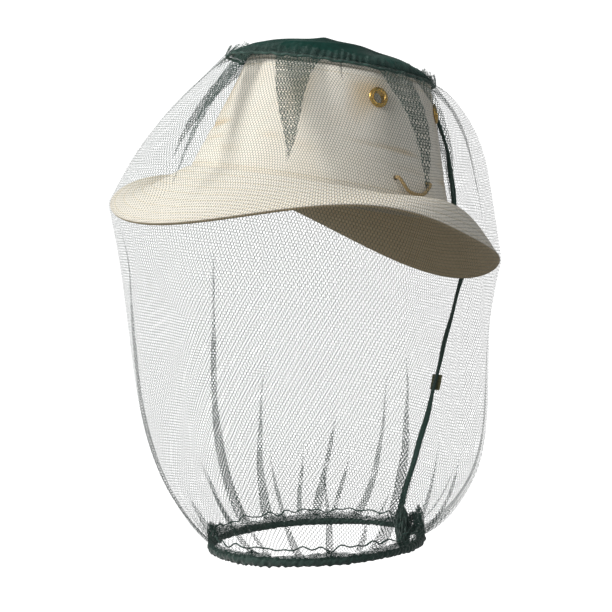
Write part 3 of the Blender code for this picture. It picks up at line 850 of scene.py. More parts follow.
def brim_line(share, side):
    """A stitch row on one face of the brim."""
    def shape(angles):
        shares = np.full_like(angles, share)
        stack = BRIM_STACK + brim_relief(shares)
        out = -side * square_to(brim_middle, angles, shares)
        return brim_point(angles, shares, side * stack), out
    return ring_line(shape)


def wall_line(level):
    """A stitch row round the crown wall."""
    def shape(angles):
        levels = np.full_like(angles, level)
        return wall_point(angles, levels, wall_relief(angles, levels)), square_to(wall_face, angles, levels)
    return ring_line(shape)


upper_stitches = stitched("brim_upper_stitches", [brim_line(s, 1) for s in stitch_shares], tan_thread)
place_piece(upper_stitches, "hat", "canvas")
lower_stitches = stitched("brim_lower_stitches", [brim_line(s, -1) for s in stitch_shares], tan_thread)
place_piece(lower_stitches, "hat", "canvas")
sewn = [wall_line(FOOT_ROW), wall_line(CROWN_HEIGHT - TOP_ROW)]
wall_stitches = stitched("crown_stitches", sewn, tan_thread)
place_piece(wall_stitches, "hat", "canvas")
print(sum(len(p.data.polygons) // 18 for p in (upper_stitches, lower_stitches, wall_stitches)), "stitches")

# %% [markdown]
# ## Brass eyelets
# An eyelet is one pressed ring: a rounded flange outside, a barrel through the canvas and a
# rolled foot that grips a washer inside. It is turned from one closed profile. Four vent the
# crown, two on each side. The brass is a little worn: darker and paler in patches, with fine
# scratches that change how sharply it shines.

# %% Brass eyelets
EYELET_FLANGE = 0.0150
WASHER_DIAMETER = 0.0136
WASHER_THICK = 0.0006
WASHER_CLEARANCE = 0.0009


def brass():
    """Worn brass: polished, with dull patches and fine scratches."""
    made, shader, start = material("brass", Metallic=1.0)
    place = object_place(start)
    patch = noise(start, place, 420, 4.0, 0.65)
    scratch = noise(start, place, 1500, 2.0, 0.5, (1, 0.15, 1))
    colour = patch.rising(0.25, 0.75).between((0.62, 0.36, 0.085), (0.96, 0.64, 0.20))
    feed(shader, Base_Color=colour, Roughness=patch * 0.22 + scratch * 0.14 + 0.10,
         Normal=bumped(scratch, 0.00003, 0.5))
    return made


def rounded(profile, size, corners=4):
    """A closed profile of (radius, height) with each corner cut back by at most a size and rounded."""
    profile = np.array(profile)
    before, after = np.roll(profile, 1, 0) - profile, np.roll(profile, -1, 0) - profile
    reach = [np.minimum(size, np.linalg.norm(way, axis=1) * 0.45)[:, None] for way in (before, after)]
    first = profile + before / np.linalg.norm(before, axis=1)[:, None] * reach[0]
    last = profile + after / np.linalg.norm(after, axis=1)[:, None] * reach[1]
    t = np.linspace(0, 1, corners)[None, :, None]
    bend = (1 - t) ** 2 * first[:, None] + 2 * t * (1 - t) * profile[:, None] + t ** 2 * last[:, None]
    return bend.reshape(-1, 2)


def turned(name, profile, spot, out, finish, around=48):
    """A closed profile turned round an axis through a spot: radius by the angle's cosine and sine."""
    radius, height = profile[:, 0], profile[:, 1]
    angle = np.arange(around) * (2 * math.pi / around)
    ring = np.stack(np.broadcast_arrays(radius[:, None] * np.cos(angle), radius[:, None] * np.sin(angle),
                                        height[:, None]), -1)
    axis = Vector(out).to_track_quat("Z", "Y").to_matrix()
    points = ring @ np.array(axis).T + np.array(spot)
    points = np.concatenate((points, points[:1]), 0)
    return sheet_mesh(name, worn(points), finish, pole=True)


worn_brass = brass()
bore, barrel, flange = EYELET_BORE / 2, EYELET_BORE / 2 + EYELET_WALL, EYELET_FLANGE / 2
washer_top = -(CANVAS + WASHER_CLEARANCE)
roll_foot = washer_top - WASHER_THICK - GAP
eyelet_profile = rounded(((bore + 0.0002, GAP + 0.0014), (barrel + 0.0008, GAP + 0.0017),
                          (flange - 0.0012, GAP + 0.0012), (flange, GAP + 0.0003), (flange, GAP),
                          (barrel, GAP), (barrel, roll_foot), (barrel + 0.0011, roll_foot),
                          (barrel + 0.0008, roll_foot - 0.0007), (bore, roll_foot - 0.0007)), 0.0005)
washer_profile = rounded(((WASHER_DIAMETER / 2, washer_top), (WASHER_DIAMETER / 2, washer_top - WASHER_THICK),
                          (barrel + GAP, washer_top - WASHER_THICK), (barrel + GAP, washer_top)), 0.0002)
for side, sign in (("left", 1), ("right", -1)):
    for place_name, degrees in zip(("front", "back"), EYELET_ANGLES):
        at = np.array(math.radians(sign * degrees)), np.array(EYELET_LEVEL)
        spot, out = wall_face(*at), square_to(wall_face, *at)
        eyelet = turned(f"brass_eyelet_{side}_{place_name}", eyelet_profile, spot, out, worn_brass)
        place_piece(eyelet, "hat", "brass", f"eyelet_{side}_{place_name}")
        washer = turned(f"brass_washer_{side}_{place_name}", washer_profile, spot, out, worn_brass)
        place_piece(washer, "hat", "brass", f"eyelet_washer_{side}_{place_name}")
print("eyelets are", EYELET_FLANGE * 1000, "mm across")

# %% [markdown]
# ## Wind cord and sweatband
# One loop of thin braided cord runs behind the sweatband and comes out through two holes on each
# side, where a chin cord would be tied. It keeps the route of its solid, because holes and cord
# have to meet. The braid is in the material: two sets of slanting ridges that cross. The
# sweatband is a soft cotton strip that hides the cord and takes up sweat, so it is marked along
# its lower half.

# %% The wind cord's route
CORD_LEVEL = 0.010
BAND_HEIGHT = 0.034
BAND_THICK = 0.0008


def cord_route():
    """The loop's points: behind the band at a steady level, and out over the brim at both sides."""
    inside = -(CANVAS + GAP + CORD_DIAMETER / 2)
    outside = GAP + CORD_DIAMETER
    turn = math.radians(6)
    lying = 2 * BRIM_LAYER + 2 * GAP + CORD_DIAMETER
    hole_front, hole_back = map(math.radians, CORD_HOLE_ANGLES)
    shown = np.array(((hole_front - turn, CORD_LEVEL, inside),
                      (hole_front, CORD_HOLE_LEVEL, inside),
                      (hole_front, CORD_HOLE_LEVEL, outside),
                      (hole_front + turn * 0.3, CORD_HOLE_LEVEL * 0.72, 1.5 * outside),
                      (hole_front + turn * 0.9, lying + GAP, 1.5 * outside),
                      (hole_back - turn * 1.2, lying, 1.4 * outside),
                      (hole_back - turn * 0.4, CORD_HOLE_LEVEL * 0.72, 1.4 * outside),
                      (hole_back, CORD_HOLE_LEVEL, outside),
                      (hole_back, CORD_HOLE_LEVEL, inside),
                      (hole_back + turn, CORD_LEVEL, inside)))
    left = wall_point(shown[:, 0], shown[:, 1], shown[:, 2])
    right = left[::-1] * (-1, 1, 1)
    front = np.linspace(-(hole_front - turn), hole_front - turn, 21)[1:-1]
    back_sweep = math.pi - hole_back - turn
    back = np.linspace(math.pi - back_sweep, math.pi + back_sweep, 17)[1:-1]
    run = [wall_point(a, np.full_like(a, CORD_LEVEL), np.full_like(a, inside)) for a in (front, back)]
    return np.concatenate((run[0], left, run[1], right))


print("the cord's route has", len(cord_route()), "points")

# %% A tube along a line
def smooth_loop(points, count):
    """A closed line through points: cubic pieces whose slope at a point joins its neighbours."""
    before, after, beyond = (np.roll(points, shift, 0) for shift in (1, -1, -2))
    t = np.linspace(0, 1, count, endpoint=False)[None, :, None]
    p0, p1, p2, p3 = (p[:, None] for p in (before, points, after, beyond))
    line = 0.5 * (2 * p1 + (p2 - p0) * t + (2 * p0 - 5 * p1 + 4 * p2 - p3) * t ** 2
                  + (3 * p1 - p0 - 3 * p2 + p3) * t ** 3)
    return line.reshape(-1, 3)


def rope(name, line, radius, finish, around=12, closed=True, up=(0, 0, 1), squash=1.0):
    """A tube: round each point of a line, a circle square to the line. Its radius may vary."""
    ahead = np.roll(line, -1, 0) - np.roll(line, 1, 0) if closed else np.gradient(line, axis=0)
    ahead /= np.linalg.norm(ahead, axis=1, keepdims=True)
    side = np.cross(ahead, up)
    side /= np.linalg.norm(side, axis=1, keepdims=True)
    top = np.cross(side, ahead)
    angle = np.linspace(0, 2 * math.pi, around, endpoint=False)[None, :, None]
    radius = np.broadcast_to(radius, (len(line), around))[..., None]
    points = line[:, None] + radius * (np.cos(angle) * side[:, None] * squash + np.sin(angle) * top[:, None])
    if closed:
        points = np.concatenate((points, points[:1]), 0)
    return sheet_mesh(name, points, finish, pole=closed, inside_out=True)


print("a tube has", rope.__defaults__[0], "sides")

# %% Braided cord
def braid(name, pale, dark, pitch):
    """Slanting ridges one way and the other, each hidden where the other passes over, and darker where they
    dip, as painted shade.
    """
    made, shader, start = material(name, Roughness=0.78, Sheen_Weight=0.25)
    _, across, along = cloth_lengths(start)
    turn = math.pi / pitch
    ridge = ((along + across) * turn).sine().size() * ((along - across) * turn).sine().size()
    # Painted shade: the colour is darker where the ridges dip.
    feed(shader, Base_Color=ridge.rising(0.0, 0.6).between(dark, pale), Normal=bumped(ridge, 0.0003, 0.8))
    return made


tan_cord = braid("tan_cord", (0.60, 0.43, 0.20), (0.30, 0.18, 0.06), 0.0011)
cord = rope("wind_cord_braid", worn(smooth_loop(cord_route(), 10)), CORD_DIAMETER / 2, tan_cord)
place_piece(cord, "hat", "cord", "wind_cord")
print("cord loop has", len(cord.data.polygons), "faces")

# %% Sweatband
behind_cord = -(CANVAS + 3 * GAP + CORD_DIAMETER)
at_wall = -(CANVAS + 2 * GAP)
band_levels = np.linspace(BAND_HEIGHT, -WALL_TURN, 34)
levels, angles = grid_of(band_levels, 288)
outs = np.interp(levels, (-WALL_TURN, -WALL_TURN / 2, CORD_LEVEL - CORD_DIAMETER, BAND_HEIGHT),
                 (at_wall, at_wall, behind_cord, behind_cord))
outs = outs - 0.0004 * (1 + ripple(angles, levels, seeded_waves(21, 6, 0.8, 18, 60))) * (levels > CORD_LEVEL)
band = sheet_mesh("sweatband_cotton", worn(wall_point(angles, levels, outs)), soft_cotton,
                  marks=0.35 + 0.3 * (levels < 0.014))
thicken(band, BAND_THICK, -1)
place_piece(band, "hat", "sweatband", "sweatband")
print("sweatband has", len(band.data.polygons), "faces")

# %% [markdown]
# ## The woven disc
# The veil hangs from a disc of thin shiny woven cloth. It lies over the crown tip and wrinkles
# there, because the gathered net pulls at its rim. A wrinkle has a sharp top and wide sides, so
# each one is a narrow bell across a line that wanders over the disc. The shine is a low
# roughness that changes over the cloth, with a sheen on top.

# %% Woven disc
DISC_THICK = 0.0008
DISC_SPREAD = math.radians(76)
DISC_OUT = DISC_THICK + 2 * GAP
FLARE_ANGLE, FLARE_SPREAD = math.radians(-41), math.radians(50)
RIM_FLARE, RIM_SAG = 0.013, 0.002
SEAM_DIAMETER = 0.0050
SATIN_RIB = 0.0004
GATHERS, GATHER_DEPTH = 46, 0.0009


def disc_point(angle, spread, out):
    """The dome over the crown, drawn out like a bell curve where the disc's rim overhangs it."""
    flare = (bell(away_round(angle, FLARE_ANGLE), FLARE_SPREAD) * (spread / DISC_SPREAD) ** 3)[..., None]
    return dome_point(angle, spread, out) + flare * (away_from_head(angle) * RIM_FLARE - (0, 0, RIM_SAG))


def satin(name, pale, dark):
    """Thin shiny weave: fine ribs, and patches that shine more and less."""
    made, shader, start = material(name, Sheen_Weight=0.05, Sheen_Roughness=0.35)
    shader.inputs["Sheen Tint"].default_value = (0.10, 0.60, 0.45, 1.0)
    shader.inputs["Specular IOR Level"].default_value = 0.16
    _, across, _ = cloth_lengths(start)
    cloud = noise(start, object_place(start), 60, 4.0, 0.6)
    rib = (across * (math.pi / SATIN_RIB)).sine().size()
    feed(shader, Base_Color=cloud.rising(0.2, 0.8).between(dark, pale), Roughness=cloud * 0.25 + 0.30,
         Normal=bumped(rib * 0.3 + cloud * 0.7, 0.00025, 0.6))
    return made


green_satin = satin("green_satin", (0.004, 0.040, 0.031), (0.0015, 0.016, 0.012))
DISC_FOLDS = ((0.9, -0.25, 0.0036, 0.13), (0.5, 0.20, 0.0040, 0.10), (1.9, 0.10, 0.0030, 0.09),
              (1.2, -0.55, 0.0036, 0.09), (0.2, 0.55, 0.0034, 0.09))  # direction, offset, height, width


def disc_relief(angle, spread):
    """Wrinkles over the disc: bells across wandering lines, pulled flat at the rim."""
    x, y = np.sin(angle) * np.sin(spread), -np.cos(angle) * np.sin(spread)
    height = ripple(3 * x, 3 * y, seeded_waves(31, 7, 0.0006, 3, 3))
    for direction, offset, top, width in DISC_FOLDS:
        along = x * math.cos(direction) + y * math.sin(direction)
        line = offset + 0.12 * np.sin(4 * along + offset)
        across = y * math.cos(direction) - x * math.sin(direction) - line
        reach = np.clip(1.1 - (along + 0.35) ** 2, 0, 1)
        height = height + top * np.exp(-np.abs(across / width) ** 1.4) * reach
    near_rim = np.clip((spread - 0.9) / 0.4, 0, 1)
    within = np.clip((DISC_SPREAD + 0.05 - spread) / 0.35, 0, 1)
    gathers = GATHER_DEPTH * np.sin(GATHERS * angle + 2 * np.sin(5 * angle)) * near_rim
    return (np.abs(height) + 0.0004) * within + np.abs(gathers)


spreads, angles = grid_of(np.linspace(0.0, DISC_SPREAD, 90), 360)
disc_points = disc_point(angles, spreads, DISC_OUT + disc_relief(angles, spreads))
disc = sheet_mesh("crown_disc_satin", worn(disc_points), green_satin, pole=True)
thicken(disc, DISC_THICK, -1)
place_piece(disc, "hat", "woven_green", "crown_disc")
print("disc", [round(x, 3) for x in disc.dimensions])

# %% [markdown]
# ## The net
# The net is one tube of cloth, 0.96 m round and about 0.39 m long. It is pleated down to half
# its width where it joins the disc, spreads over the brim, and is pleated again into the hem. A
# pleat takes three layers of cloth: out, back under itself, and out again. On the flat cloth
# that is three strips of one width; round the head they all lie on the same strip. So each row
# of the grid gets a list of stops that say where a place on the flat cloth ends up round the
# head, and the places between the stops are filled in evenly. As a pleat's width shrinks down
# the cloth, its strips close up, and the folds run together to a point, as in real pleats.

# %% The net's shape
NET_ROUND = 0.96               # the flat tube, once round
NET_STAND = 0.0026
NET_THICK = 0.0010
UPPER_BULGE_FRONT, UPPER_BULGE_BACK = 0.007, 0.018
SKIRT_BULGE_FRONT, SKIRT_BULGE_BACK = 0.020, 0.033
SKIRT_LOW, SKIRT_FULL = 2.1, 0.7
SEAM_ANGLE = math.radians(176)
SEAM_PULL = math.radians(22)
HEM_RADIUS = 0.0790
HEM_DROP = 0.2625
HEM_BACKSET = -0.0045
HEM_TILT = math.radians(3.3)
HEM_HEIGHT = 0.0076
HEM_TURN = np.array(Matrix.Rotation(HEM_TILT, 3, "X"))
NET_COLUMNS = 544
UPPER_ROWS, SKIRT_ROWS = 64, 112


def at_hem(points):
    """Points of a level hem, tilted and lowered to where it hangs."""
    return points @ HEM_TURN.T + np.array((0, HEM_BACKSET, -HEM_DROP))


def seam_ring(angle):
    """The middle of the gathered seam, just outside the rim of the disc."""
    rim = disc_point(angle, np.full_like(angle, DISC_SPREAD), DISC_OUT)
    return rim + away_from_head(angle) * (SEAM_DIAMETER / 2 + GAP)


def front_to_back(angle, front, back):
    """A value that passes from front to back as a cosine does."""
    return front + (back - front) * (1 - np.cos(angle)) / 2


def net_upper(angle, share, out=0.0):
    """From the seam (0) to the brim's edge (1): a straight line, with a bulge like half a wave."""
    top = seam_ring(angle) - np.array((0, 0, SEAM_DIAMETER / 2))
    place = top + (brim_edge(angle, NET_STAND) - top) * share[..., None]
    early = share ** (1 - 0.35 * front_to_back(angle, 0, 1))
    bulge = front_to_back(angle, UPPER_BULGE_FRONT, UPPER_BULGE_BACK) * np.sin(math.pi * early) + out
    return worn(place + away_from_head(angle, 0.5) * bulge[..., None])


def net_skirt(angle, share, out=0.0):
    """From the brim's edge (0) to the hem (1): a straight line, and a bulge fullest near the hem."""
    top = worn(brim_edge(angle, NET_STAND))
    foot = at_hem(oval(2 * HEM_RADIUS, 2 * HEM_RADIUS, angle, HEM_HEIGHT / 2 + GAP + NET_THICK / 2))
    pull = bell(away_round(angle, SEAM_ANGLE), SEAM_PULL)
    bulge = front_to_back(angle, SKIRT_BULGE_FRONT, SKIRT_BULGE_BACK) * (1 - pull)
    place = top + (foot - top) * share[..., None]
    fullness = np.maximum(np.sin(math.pi * share ** SKIRT_LOW), 0) ** SKIRT_FULL
    return place + away_from_head(angle) * (bulge * fullness + out)[..., None]


def net_point(angle, row, out=0.0):
    """The net from the seam (row 0) over the brim's edge (row 1) to the hem (row 2)."""
    upper_part = net_upper(angle, np.clip(row, 0, 1), out)
    skirt_part = net_skirt(angle, np.clip(row - 1, 0, 1), out)
    return np.where((row < 1)[..., None], upper_part, skirt_part)


rows = np.concatenate((np.linspace(0, 1, UPPER_ROWS, endpoint=False), 1 + np.linspace(0, 1, SKIRT_ROWS)))
print("net grid", len(rows), "by", NET_COLUMNS)

# %% [markdown]
# ## Pleats
# The big pleats at the crown are placed one by one, because they show most. Each has the angle
# of its left edge at the seam, the angle where it runs out, its width at the seam, and how far
# down it reaches, as a share of the way to the brim. Between them the net is only lightly
# gathered, in small pleats that soon run out. The pleats above the hem are the same, seen the
# other way up: a few long folds listed one by one, and many short ones with seeded places.

# %% Pleats
CROWN_PLEATS = ((-42, -28, 0.026, 1.00), (-21, 7, 0.024, 0.85), (11, 42, 0.036, 0.74), (71, 85, 0.027, 0.92),
                (95, 96, 0.010, 1.00), (109, 108, 0.008, 0.30), (150, 156, 0.018, 0.80),
                (174, 176, 0.014, 1.00), (206, 208, 0.022, 0.85), (246, 246, 0.020, 0.80),
                (285, 288, 0.022, 0.90))
HEM_FOLDS = ((319, 312, 0.013, 0.97), (268, 271, 0.012, 0.86), (253, 250, 0.009, 0.52), (77, 80, 0.013, 0.62),
             (137, 146, 0.014, 0.92), (201, 204, 0.010, 0.60), (12, 8, 0.008, 0.34), (226, 222, 0.008, 0.42),
             (107, 104, 0.008, 0.36), (172, 176, 0.009, 0.99))


def cloth_places(pleats, ring):
    """Where the middle of each pleat lies on the flat cloth, as shares of its width.

    At the gathered edge the pleats take three widths each. What is left of the cloth is shared
    out over the gaps, in step with their length round the head.
    """
    edges, ends, widths, _ = (np.array(column, float) for column in zip(*pleats))
    gaps = (np.roll(edges, -1) - edges - widths / ring * 360) % 360
    spare = NET_ROUND - 3 * widths.sum()
    lengths = 3 * widths + gaps / gaps.sum() * spare
    middles = (lengths.cumsum() - lengths + 1.5 * widths) / NET_ROUND
    apart = (ends / 360 - middles + 0.5) % 1 - 0.5
    print("cloth between pleats", round(spare / (gaps.sum() / 360 * ring), 2), "times the gap it spans")
    return middles + apart.mean()


def long_stops(pleats, places, distance, ring):
    """One row's stops for the placed pleats: place on the cloth, angle, and how far out it lies.

    The distance runs from 0 at the gathered edge. Ring is the length of the row round the head.
    """
    stops = []
    for (edge, end, width, reach), place in zip(pleats, places):
        left = 1 - min(distance / reach, 1.0)
        wide = width * left
        start = end + (edge - end) * left ** 1.5
        start += 360 * round(place - start / 360)
        turn, part, lift = wide / ring * 360, wide / NET_ROUND, min(1.0, wide / 0.008)
        stops += [(place - 1.5 * part, start, 0.0), (place - 0.5 * part, start + turn, lift),
                  (place + 0.5 * part, start, -lift), (place + 1.5 * part, start + turn, 0.0)]
    return stops


def short_pleats(seed, count, pleats, places, widths, reaches):
    """Seeded pleats in the cloth between the placed ones: place, width and reach."""
    pick = np.random.default_rng(seed)
    found, last = [], -1.0
    for number in range(count):
        place = (number + pick.uniform(0.1, 0.9)) / count
        width, reach = pick.uniform(*widths), pick.uniform(*reaches)
        clear = [abs((place - other + 0.5) % 1 - 0.5) > 1.5 * (width + wide) / NET_ROUND + 0.002
                 for other, (_, _, wide, _) in zip(places, pleats)]
        if all(clear) and place - last > 3.2 * widths[1] / NET_ROUND:
            found.append((place, width, reach))
            last = place
    return found


def all_round(stops):
    """The stops in order, with copies a whole turn before and after them."""
    copies = [(place + turn, angle + 360 * turn, out) for place, angle, out in stops for turn in (-1, 1)]
    return np.array(sorted(stops + copies, key=lambda stop: stop[0]))


def pleated_row(pleats, places, short, distance, ring, flat):
    """The angle and the layer of every place on the flat cloth, in one row."""
    stops = long_stops(pleats, places, distance, ring)
    known = all_round(stops)
    for place, width, reach in short:
        wide = width * (1 - min(distance / reach, 1.0))
        if wide > 0.0003:
            middle = np.interp(place, known[:, 0], known[:, 1])
            turn, part, lift = wide / ring * 180, wide / NET_ROUND, min(1.0, wide / 0.005)
            stops += [(place - 1.5 * part, middle - turn, 0.0), (place - 0.5 * part, middle + turn, lift),
                      (place + 0.5 * part, middle - turn, -lift), (place + 1.5 * part, middle + turn, 0.0)]
    stops = all_round(stops)
    return np.radians(np.interp(flat, stops[:, 0], stops[:, 1])), np.interp(flat, stops[:, 0], stops[:, 2])


def ring_length(row):
    """The length of one row of the plain net, round the head."""
    round_head = np.linspace(0, 2 * math.pi, 73)
    points = net_point(round_head, np.full_like(round_head, row))
    return float(np.linalg.norm(np.diff(points, axis=0), axis=1).sum())


hem_folds = sorted(HEM_FOLDS)
crown_places = cloth_places(CROWN_PLEATS, ring_length(0.0))
hem_places = cloth_places(hem_folds, ring_length(2.0))
crown_short = short_pleats(3, 60, CROWN_PLEATS, crown_places, (0.0028, 0.0045), (0.08, 0.30))
hem_short = short_pleats(4, 46, hem_folds, hem_places, (0.0050, 0.0078), (0.12, 0.42))
print(len(crown_short), "short pleats at the crown,", len(hem_short), "at the hem")

# %% [markdown]
# ## Laying the net
# Each row is pleated from the crown down and from the hem up, and the two answers are mixed
# across the brim. The layers of a pleat are held a little apart, so that they don't cut through
# each other. Where the tube is wider than what it hangs round, the spare cloth stands in soft
# waves that grow towards the hem.

# %% Laying the net
LAYER_APART = 0.0011
MIX_START, MIX_LENGTH = 0.80, 0.45  # rows where the crown's pleats give way to the hem's
EDGE_GATHERS, EDGE_DEPTH = 61, 0.0018
flat = (np.arange(NET_COLUMNS) + 0.5) / NET_COLUMNS
net_angles = np.zeros((len(rows), NET_COLUMNS))
net_outs, pleated = np.zeros_like(net_angles), np.zeros_like(net_angles)
for index, row in enumerate(rows):
    ring = ring_length(row)
    from_crown, crown_layer = pleated_row(CROWN_PLEATS, crown_places, crown_short, min(row, 1.0), ring, flat)
    from_hem, hem_layer = pleated_row(hem_folds, hem_places, hem_short, min(2 - row, 1.0), ring, flat)
    mix = np.clip((row - MIX_START) / MIX_LENGTH, 0, 1)
    mix = mix * mix * (3 - 2 * mix)
    net_angles[index] = from_crown * (1 - mix) + from_hem * mix
    net_outs[index] = (crown_layer * (1 - mix) + hem_layer * mix) * LAYER_APART
    pleated[index] = np.abs(crown_layer) * (1 - mix) + np.abs(hem_layer) * mix

row_grid = np.repeat(rows[:, None], NET_COLUMNS, axis=1)
flat_grid = np.repeat(flat[None, :], len(rows), axis=0)
waves = seeded_waves(14, 10, 0.0032, 17, 2.2)
skirt_share = np.clip(row_grid - 1, 0, 1)
slack = np.sin(math.pi * skirt_share) ** 0.8
soft = ripple(2 * math.pi * flat_grid, skirt_share, waves) * slack
gather = EDGE_DEPTH * np.sin(2 * math.pi * EDGE_GATHERS * flat_grid + 9 * np.sin(2 * math.pi * 4 * flat_grid))
near_edge = bell(2 - row_grid, 0.10) + 0.7 * bell(row_grid, 0.10)
crown_slack = np.sin(math.pi * np.clip(row_grid, 0, 1)) ** 2
crown_soft = ripple(2 * math.pi * flat_grid, row_grid, seeded_waves(15, 8, 0.0020, 12, 3)) * crown_slack
net_points = net_point(net_angles, row_grid, net_outs + soft + gather * near_edge + crown_soft)

closed = np.append(flat, 1.0 + flat[0])  # the cloth's places, with the first one again at the end
plain_rows, plain_places = np.meshgrid(rows, closed, indexing="ij")
plain = net_point(2 * math.pi * plain_places, plain_rows)
down = np.linalg.norm(np.diff(plain, axis=0), axis=-1).cumsum(axis=0)
down = np.concatenate((np.zeros((1, NET_COLUMNS + 1)), down))
net_cloth = np.stack((plain_places * NET_ROUND, down), -1)
net = sheet_mesh("head_net", net_points, green_net, cloth=net_cloth, marks=pleated)


def place_hanging(piece, slot, *nodes):
    """For cloth that the hat holds at its top and the hem at its foot: its place is baked into its mesh, and
    the solids it stands for are hidden.
    """
    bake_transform(piece)
    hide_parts(*nodes)


place_hanging(net, "net", "net_upper", "net_skirt")

# %% [markdown]
# ## The gathered seam
# Where the net meets the disc, its raw edge is turned up outside and overlocked. It stands as a
# ragged frill of several layers of net, a few millimetres high, darker than the rest because the
# layers lie so close. The frill is a strip on a grid: it leans on the disc, waves quickly in and
# out, and its top edge is uneven. The cloth is the same net, but gathered, so its holes are
# squeezed narrow.

# %% Gathered seam
FRILL_HEIGHT = 0.0085
FRILL_LAYERS = ((0.30, 0.0012, 41), (0.55, -0.0004, 42), (0.75, -0.0016, 43))  # lean, place and seed
FRILL_CLOTH = 0.153            # metres of gathered cloth for each radian round the head
START_RANGE = 6.28             # radians, within which a seeded wave starts


def dense_net(name, squeeze, pale, dark, thread):
    """Net with its holes squeezed narrow by gathering."""
    def cover(start, cloth):
        return noise(start, cloth, 420, 3.0, 0.6).rising(0.56, 0.64)
    return netting(name, HOLE_PITCH * squeeze, thread, thread * 0.8, pale, dark, cover)


seam_net = dense_net("gathered_seam_net", 0.60, (0.016, 0.056, 0.045), (0.004, 0.020, 0.016), 0.19)


def frill(name, centre, height, finish, seed, lean, layer, columns=900, rows=12, depth=0.0009, tufts=None):
    """A strip above a ring: up by a height that varies, leaning inwards, waving in and out.

    The layer is how far out the strip stands. The tufts are a function of the angle that makes
    the strip taller where the cloth bunches.
    """
    pick = np.random.default_rng(seed)
    share, angle = grid_of(np.linspace(1, 0, rows), columns)
    starts = pick.uniform(0, START_RANGE, 4)
    tall = height * (0.82 + 0.14 * np.sin(17 * angle + starts[0]) + 0.10 * np.sin(41 * angle + starts[1])
                     + 0.05 * np.sin(97 * angle + starts[2]))
    tall = tall if tufts is None else tall * tufts(angle)
    wave = depth * (np.sin(83 * angle + 3 * np.sin(7 * angle) + starts[3]) * (0.35 + 0.65 * share)
                    + 0.5 * np.sin(29 * angle + starts[1]) * share)
    points = centre(angle) + away_from_head(angle) * (wave + layer - lean * share ** 1.5 * height)[..., None]
    points[..., 2] += tall * share
    down, across = np.meshgrid(np.linspace(0, height, rows), np.append(angle[0], 2 * math.pi) * FRILL_CLOTH,
                               indexing="ij")
    return sheet_mesh(name, points, finish, cloth=np.stack((across, down), -1))


def seam_base(angle):
    """The foot of the frill, just outside the rim of the disc."""
    return seam_ring(angle) - np.array((0, 0, SEAM_DIAMETER / 2))


for number, (lean, layer, seed) in enumerate(FRILL_LAYERS):
    height = FRILL_HEIGHT * (1 - 0.08 * number)
    strip = frill(f"crown_frill_{number}", seam_base, height, seam_net, seed, lean, layer)
    strip.data.transform(Matrix(HAT_TURN).to_4x4())
    place_piece(strip, "hat", "seam_green")
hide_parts("crown_seam")


def wavy_line(centre, seed, rise, sway, columns=720):
    """A line round a ring that rises and sways unevenly."""
    pick = np.random.default_rng(seed)
    angle = np.arange(columns) * (2 * math.pi / columns)
    counts, starts = pick.integers(9, 60, 6), pick.uniform(0, START_RANGE, 6)
    up = rise * sum(np.sin(c * angle + s) for c, s in zip(counts, starts)) / 3
    out = sway * sum(np.sin(c * angle - s) for c, s in zip(counts, starts)) / 3
    points = centre(angle) + away_from_head(angle) * out[:, None]
    points[:, 2] += up
    return points


overlock = worn(wavy_line(seam_base, 47, 0.0005, 0.0006))
seam_cord = rope("crown_seam_overlock", overlock, 0.0010, green_thread, around=8)
place_piece(seam_cord, "hat", "seam_green")

# %% [markdown]
# ## The back seam
# The tube of net is closed by one seam down the back, bound with a narrow tape. Cloth that hangs
# free along a seam twists and puckers, so the tape sways a little to both sides and its edges
# turn in and out. A small woven label is sewn into it.

# %% Back seam
TAPE_WIDTH = 0.0050
TAPE_THICK = 0.0012
TAPE_OUT, LABEL_OUT = 0.0013, 0.0032  # from the net
SKIRT_LENGTH = 0.27
LABEL_WIDTH, LABEL_HEIGHT, LABEL_THICK = 0.011, 0.017, 0.0010
LABEL_PLACE = 0.44


def binding(name, pale, dark):
    """Tape folded over an edge: cross ribs, darker between them as painted shade, uneven colour and fuzz."""
    made, shader, start = material(name, Roughness=0.8, Sheen_Weight=0.3)
    _, _, along = cloth_lengths(start)
    cloud = noise(start, object_place(start), 300, 3.0)
    rib = (along * (math.pi / 0.0012)).sine().size()
    # Painted shade: part of the colour follows the ribs and is darker between them. The rest is the tape's
    # own uneven tone.
    feed(shader, Base_Color=(cloud * 0.7 + rib * 0.3).between(dark, pale), Normal=bumped(rib, 0.0003, 0.8))
    return made


green_tape = binding("green_tape", (0.016, 0.070, 0.054), (0.004, 0.026, 0.020))
tape_rows = np.linspace(0.0, 2.0, 260)
tape_across = np.linspace(-1, 1, 5)
share, across = np.meshgrid(tape_rows, tape_across, indexing="ij")
sway = ripple(share, 0 * share, ((0.0016, 3.1, 0, 0.4), (0.0008, 9.7, 0, 1.9), (0.0004, 31.0, 0, 0.0)))
twist = ripple(share, 0 * share, ((0.7, 5.3, 0, 1.0), (0.5, 17.0, 0, 2.0)))
radius = np.linalg.norm(net_point(np.full_like(share, SEAM_ANGLE), share)[..., :2], axis=-1)
tape_angles = SEAM_ANGLE + (sway + across * TAPE_WIDTH / 2 * np.cos(0.5 * twist)) / radius
tape_outs = TAPE_OUT + across * TAPE_WIDTH / 2 * np.sin(0.5 * twist) * 0.6
tape = sheet_mesh("back_seam_tape", net_point(tape_angles, share, tape_outs), green_tape, wrap=False)
thicken(tape, TAPE_THICK * 0.7, 0)
place_hanging(tape, "seam_green", "seam_upper", "seam_lower")
print("tape has", len(tape.data.polygons), "faces")

